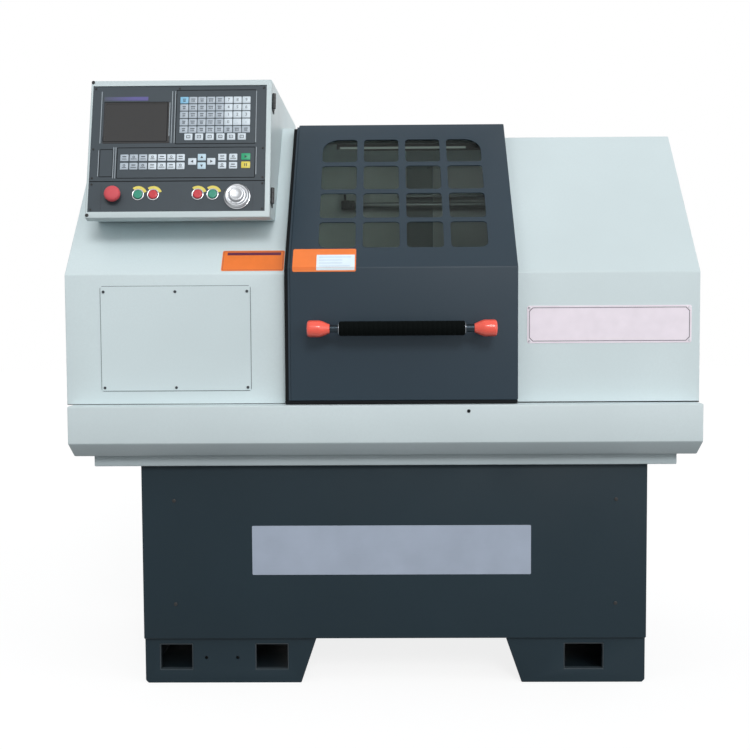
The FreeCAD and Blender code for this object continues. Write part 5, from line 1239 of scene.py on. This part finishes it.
pipe = {"y": backWall - 24, "z": 1266, "left": -92, "right": 400, "down": 840, "bend": 22}
pipeY, pipeZ = pipe["y"], pipe["z"]
bend = [(x, pipeY, z) for x, z in [onCircle(pipe["bend"], 90 - angle, pipe["right"] - pipe["bend"],
                                            pipeZ - pipe["bend"]) for angle in range(0, 91, 15)]]
addSolid("coolant_pipe", "tank_steel", "machine",
         (addTube, [(pipe["left"], pipeY, pipeZ), *bend, (pipe["right"], pipeY, pipe["down"])], 9, 20),
         (addTube, [(40, pipeY, pipeZ + 27), (pipe["right"] - 30, pipeY, pipeZ + 27)], 4.5))
addSolid("pipe_clamps", "black_metal", "machine",
         *[(addBlock, (x - 6, pipeY - 10.5, pipeZ - 11), (x + 6, backWall, pipeZ + 34), 1.5)
           for x in (-72, 56, 196, 350)])
addSolid("coolant_tap", "black_metal", "machine",
         (addBlock, (-134, pipeY - 14, pipeZ - 14), (-92, pipeY + 14, pipeZ + 14), 3),
         (addTurned, [(0, 0), (7, 0), (7, 8), (13, 9), (14, 12), (13, 16), (8, 18), (0, 18)],
          shift(-113, pipeY - 14, pipeZ) @ turned(90, "X"), 24),
         (addBlock, (-127, pipeY - 4, pipeZ + 13), (-119, pipeY + 4, pipeZ + 34), 1.5),
         (addBlock, (-134, pipeY + 13, pipeZ - 8), (-92, backWall, pipeZ + 8), 1))
print("work room dressed")

# hinges: leaf on the box's side, barrels in turn on the box and on the lid

hinge = {"u": 457, "n": -11, "starts": (39, 288), "length": 40, "radius": 4.6, "gap": 0.3, "leaf": 34}
leafIn, leafOut = 452.4, 454.8
knuckle = hinge["length"] / 3
edge = hinge["radius"] - 0.5
barrelPlace = lidFrame @ shift(hinge["u"], 0, hinge["n"]) @ turned(-90, "X")
leaves = []
for start in hinge["starts"]:
    end = start + hinge["length"]
    knuckles = ((start, start + knuckle - hinge["gap"]), (start + knuckle * 2 + hinge["gap"], end))
    leaves += [(addTurned, [(0, low), (edge, low), (hinge["radius"], low + 0.5), (hinge["radius"], high - 0.5),
                            (edge, high), (0, high)], barrelPlace, 28) for low, high in knuckles]
    leaves.append((addBlock, (leafIn, start, hinge["n"] - hinge["leaf"]), (leafOut, end, hinge["n"] - 6),
                   0.5, lidFrame))
    leaves += [(addBlock, (leafIn, low, hinge["n"] - 7), (leafOut, high, hinge["n"]), 0.3, lidFrame)
               for low, high in knuckles]
    leaves += [(addTurned, [(0, 0), (3.4, 0), (3.1, 0.9), (1.4, 1.3), (1.2, 0.6), (0, 0.6)],
                lidFrame @ shift(leafOut, v, hinge["n"] - 24) @ turned(90, "Y"), 16)
               for v in (start + 8, end - 8)]
addSolid("hinge_leaves", "black_metal", "machine", *leaves, stands=["lid_hinges"])
boxSide = corners("control_box")[1].x + 0.4
repaint("control_lid_body", "black_metal", lambda face: face.center.x > mm(boxSide))
print("hinges made")

# back and ends: service panels, louvres, grommet of the bar hole

hood = {"pitchX": 186, "pitchY": 28, "width": 150, "height": 13, "depth": 6.5}
smallHood = {"pitchX": 84, "pitchY": 18, "width": 70, "height": 9, "depth": 4.5}
darkPanel = {"material": "dark_paint", "columns": 4, "screw": "screw_black"}


def addServicePanel(name, place, left, right, low, high, material="white_paint", columns=3, rows=3,
                    screw="screw_steel"):
    # a screwed sheet on a dark gasket
    addSolid(name, material, "machine", (addPlate, left, right, low, high, 8, 0.5, 2.1, place, 0.4))
    addSolid(name + "_gasket", "seal_rubber", "machine",
             (addPlate, left - 1.2, right + 1.2, low - 1.2, high + 1.2, 9, 0, 0.5, place))
    spots = [(left + 12 + (right - left - 24) * column / (columns - 1),
              low + 12 + (high - low - 24) * row / (rows - 1), 2.1)
             for column in range(columns) for row in range(rows)
             if row in (0, rows - 1) or column in (0, columns - 1)]
    addScrews(name + "_screws", spots, 4.0, 1.4, screw, "machine", place, len(name))


def addHood(work, width, height, depth):
    # a pressed hood that opens downwards, with rounded ends
    sections = []
    for share in (0, 0.02, 0.05, 0.09, 0.14, 0.86, 0.91, 0.95, 0.98, 1):
        reach = min(share, 1 - share) / 0.14
        swell = 0.12 + 0.88 * math.sqrt(1 - (1 - min(reach, 1)) ** 2)
        sections.append([work.verts.new((mm(width * (share - 0.5)), mm(y), mm(z * swell)))
                         for y, z in ((0, 0), (0, depth), (height * 0.3, depth * 0.94),
                                      (height * 0.65, depth * 0.6), (height, 0))])
    for first, second in zip(sections, sections[1:]):
        skin(work, first, second)
    work.faces.new(sections[0])
    work.faces.new(sections[-1])


def addLouvres(name, place, columns, rows, material="white_paint", size=hood):
    # the place is the middle of the first hood; each hood has a black block in its mouth as painted shade
    half, depth = size["width"] / 2, size["depth"]
    grid = (columns, rows, size["pitchX"], size["pitchY"])
    addField(name, place, *grid, material, (addHood, size["width"], size["height"], depth))
    addField(name + "_mouths", place, *grid, "screw_black",
             (addBlock, (3 - half, -0.5, 0.1), (half - 3, 0.6, depth * 0.78)))


addServicePanel("guard_panel", backFace, -254, 196, 770, 1330)
addServicePanel("right_back_panel", backFace, -735, -340, 770, 1330)
addServicePanel("left_back_panel", backFace, 292, 742, 770, 1390, rows=4)
addLouvres("motor_louvres", backFace @ shift(424, 800, 2), 2, 10)
addLouvres("tail_louvres", backFace @ shift(-630.5, 1120, 2), 2, 6)
addLouvres("box_louvres", boxBack @ shift(350, 1458), 3, 3, size=smallHood)
addServicePanel("cabinet_back_left", cabinetBack, 20, 575, 150, 525, **darkPanel)
addServicePanel("cabinet_back_right", cabinetBack, -618, -20, 150, 525, **darkPanel)
addLouvres("cabinet_louvres_left", cabinetBack @ shift(204, 300, 2), 2, 7, "dark_paint")
addLouvres("cabinet_louvres_right", cabinetBack @ shift(-412, 300, 2), 2, 7, "dark_paint")
addServicePanel("cabinet_left_panel", cabinetLeft, -330, 330, 150, 525, **darkPanel)
addServicePanel("cabinet_right_panel", cabinetRight, -330, 330, 150, 525, **darkPanel)
addLouvres("pump_louvres", cabinetRight @ shift(-93, 330, 2), 2, 6, "dark_paint")
addSolid("bar_grommet", "seal_rubber", "machine",
         (addTurned, [(26.5, -0.4), (27.5, 0), (29.8, 0), (29.8, -5), (27.5, -5), (26.5, -4.6), (26.5, -0.4)],
          leftEnd @ shift(40, 960), 48))
print("back and ends dressed")

# works: bolts of the chuck and of the turret

jawMiddle = sum(corners("chuck_jaw_1"), Vector()) / 2 - spindleAxis
jawAngle = math.degrees(math.atan2(jawMiddle.z, jawMiddle.y))
chuckFace = faceOf("chuck_body", 0, 1, (0, 1, 0)) @ shift(spindleAxis.y, spindleAxis.z)
chuckBolt = [(0, 0), (9, 0), (9, 1.2), (8, 2), (4.6, 2), (4.6, 0.6), (0, 0.6)]
addSolid("chuck_bolts", "hard_steel", "spindle",
         *[(addTurned, chuckBolt, chuckFace @ shift(*onCircle(66, jawAngle + 60 + 120 * third)), 6)
           for third in range(3)])
turretLow, turretHigh = corners("tool_turret")
turretTop = shift((turretLow.x + turretHigh.x) / 2, (turretLow.y + turretHigh.y) / 2, turretHigh.z)
clampBolt = [(0, 0), (6, 0), (6, 7.4), (5.2, 8.2), (3, 8.2), (3, 4), (0, 4)]
squareTop = turretTop @ shift(0, 0, -14)  # the cap stands 14 mm above the square head
addSolid("turret_bolts", "hard_steel", "turret",
         *[(addTurned, clampBolt, squareTop @ turned(90 * side, "Z") @ shift(along, -46), 20)
           for side in range(4) for along in (-34, 0, 34)],
         (addTurned, [(0, 0), (21, 0), (21, 3.2), (20, 4), (0, 4)], turretTop),
         (addTurned, [(0, 4), (15, 4), (15, 14.6), (13.8, 16), (0, 16)], turretTop, 6))
print("works dressed")

# control box inside: mounting plate with rails, ducts, breakers and terminals on the slope

rack = {"left": -690, "right": -320, "low": 215, "high": 505, "rails": (290, 400), "ducts": (222, 335, 450)}
railPlaces = [coverSlope @ shift(rack["left"], v) for v in rack["rails"]]
addSolid("rack_plate", "zinc_steel", "machine",
         (addPlate, rack["left"], rack["right"], rack["low"], rack["high"], 4, 0.2, 2.2, coverSlope),
         *[(addBlock, (rack["left"] + 8, v - 17.5, 2), (rack["right"] - 8, v + 17.5, 9), 0.8, coverSlope)
           for v in rack["rails"]])
addSolid("wire_ducts", "duct_grey", "machine",
         *[(addBlock, (rack["left"] + 4, v, 2), (rack["right"] - 4, v + 26, 40), 1.2, coverSlope)
           for v in rack["ducts"]])
addField("duct_slots", coverSlope @ shift(rack["left"] + 14, rack["ducts"][0] + 13), 35, 3, 10, 114,
         "mark_dark", (addBlock, (-1.8, -13.6, 12), (1.8, 13.6, 36)))
for name, rail, start, count, pitch, material, *blocks in (
        ("breakers", 0, 22, 8, 18, "breaker_grey", ((-8.6, -38, 9), (8.6, 38, 44), 1.2),
         ((-8.6, -21, 44), (8.6, 21, 56), 1.2)),
        ("breaker_levers", 0, 22, 8, 18, "black_nylon", ((-4, -2, 55), (4, 8, 61), 1)),
        ("terminals", 0, 180, 28, 6, "duct_grey", ((-2.7, -22, 9), (2.7, 22, 40), 0.6)),
        ("relays", 1, 32, 6, 34, "black_nylon", ((-15, -40, 9), (15, 40, 50), 2)),
        ("supplies", 1, 242, 2, 80, "tank_steel", ((-36, -42, 9), (36, 42, 58), 2.5))):
    addField(name, railPlaces[rail] @ shift(start, 0), count, 1, pitch, pitch, material,
             *[(addBlock, *block) for block in blocks])

# inside of the lid: the controller's case and the buttons' contact blocks

addSolid("controller_case", "zinc_steel", "lid", (addBlock, (30, 112, -64), (420, 338, -21), 3, lidFrame))
addSolid("controller_ports", "black_nylon", "lid",
         *[(addBlock, (60, v, -65), (180, v + 6, -63.8), 0.3, lidFrame) for v in (150, 172, 194, 216)],
         *[(addBlock, (u, v, -72), (u + wide, v + 16, -63.5), 1.5, lidFrame)
           for u, v, wide in ((230, 135, 52), (300, 135, 52), (370, 135, 34), (230, 290, 80), (340, 290, 60))])
addSolid("contact_blocks", "duct_grey", "lid",
         *[(addBlock, (u - 14, v - 18, -60), (u + 14, v + 18, -17.4), 1.5, lidFrame)
           for u, v in buttonSpots + [controls["stop"], controls["wheel"]]])
print("control box dressed")
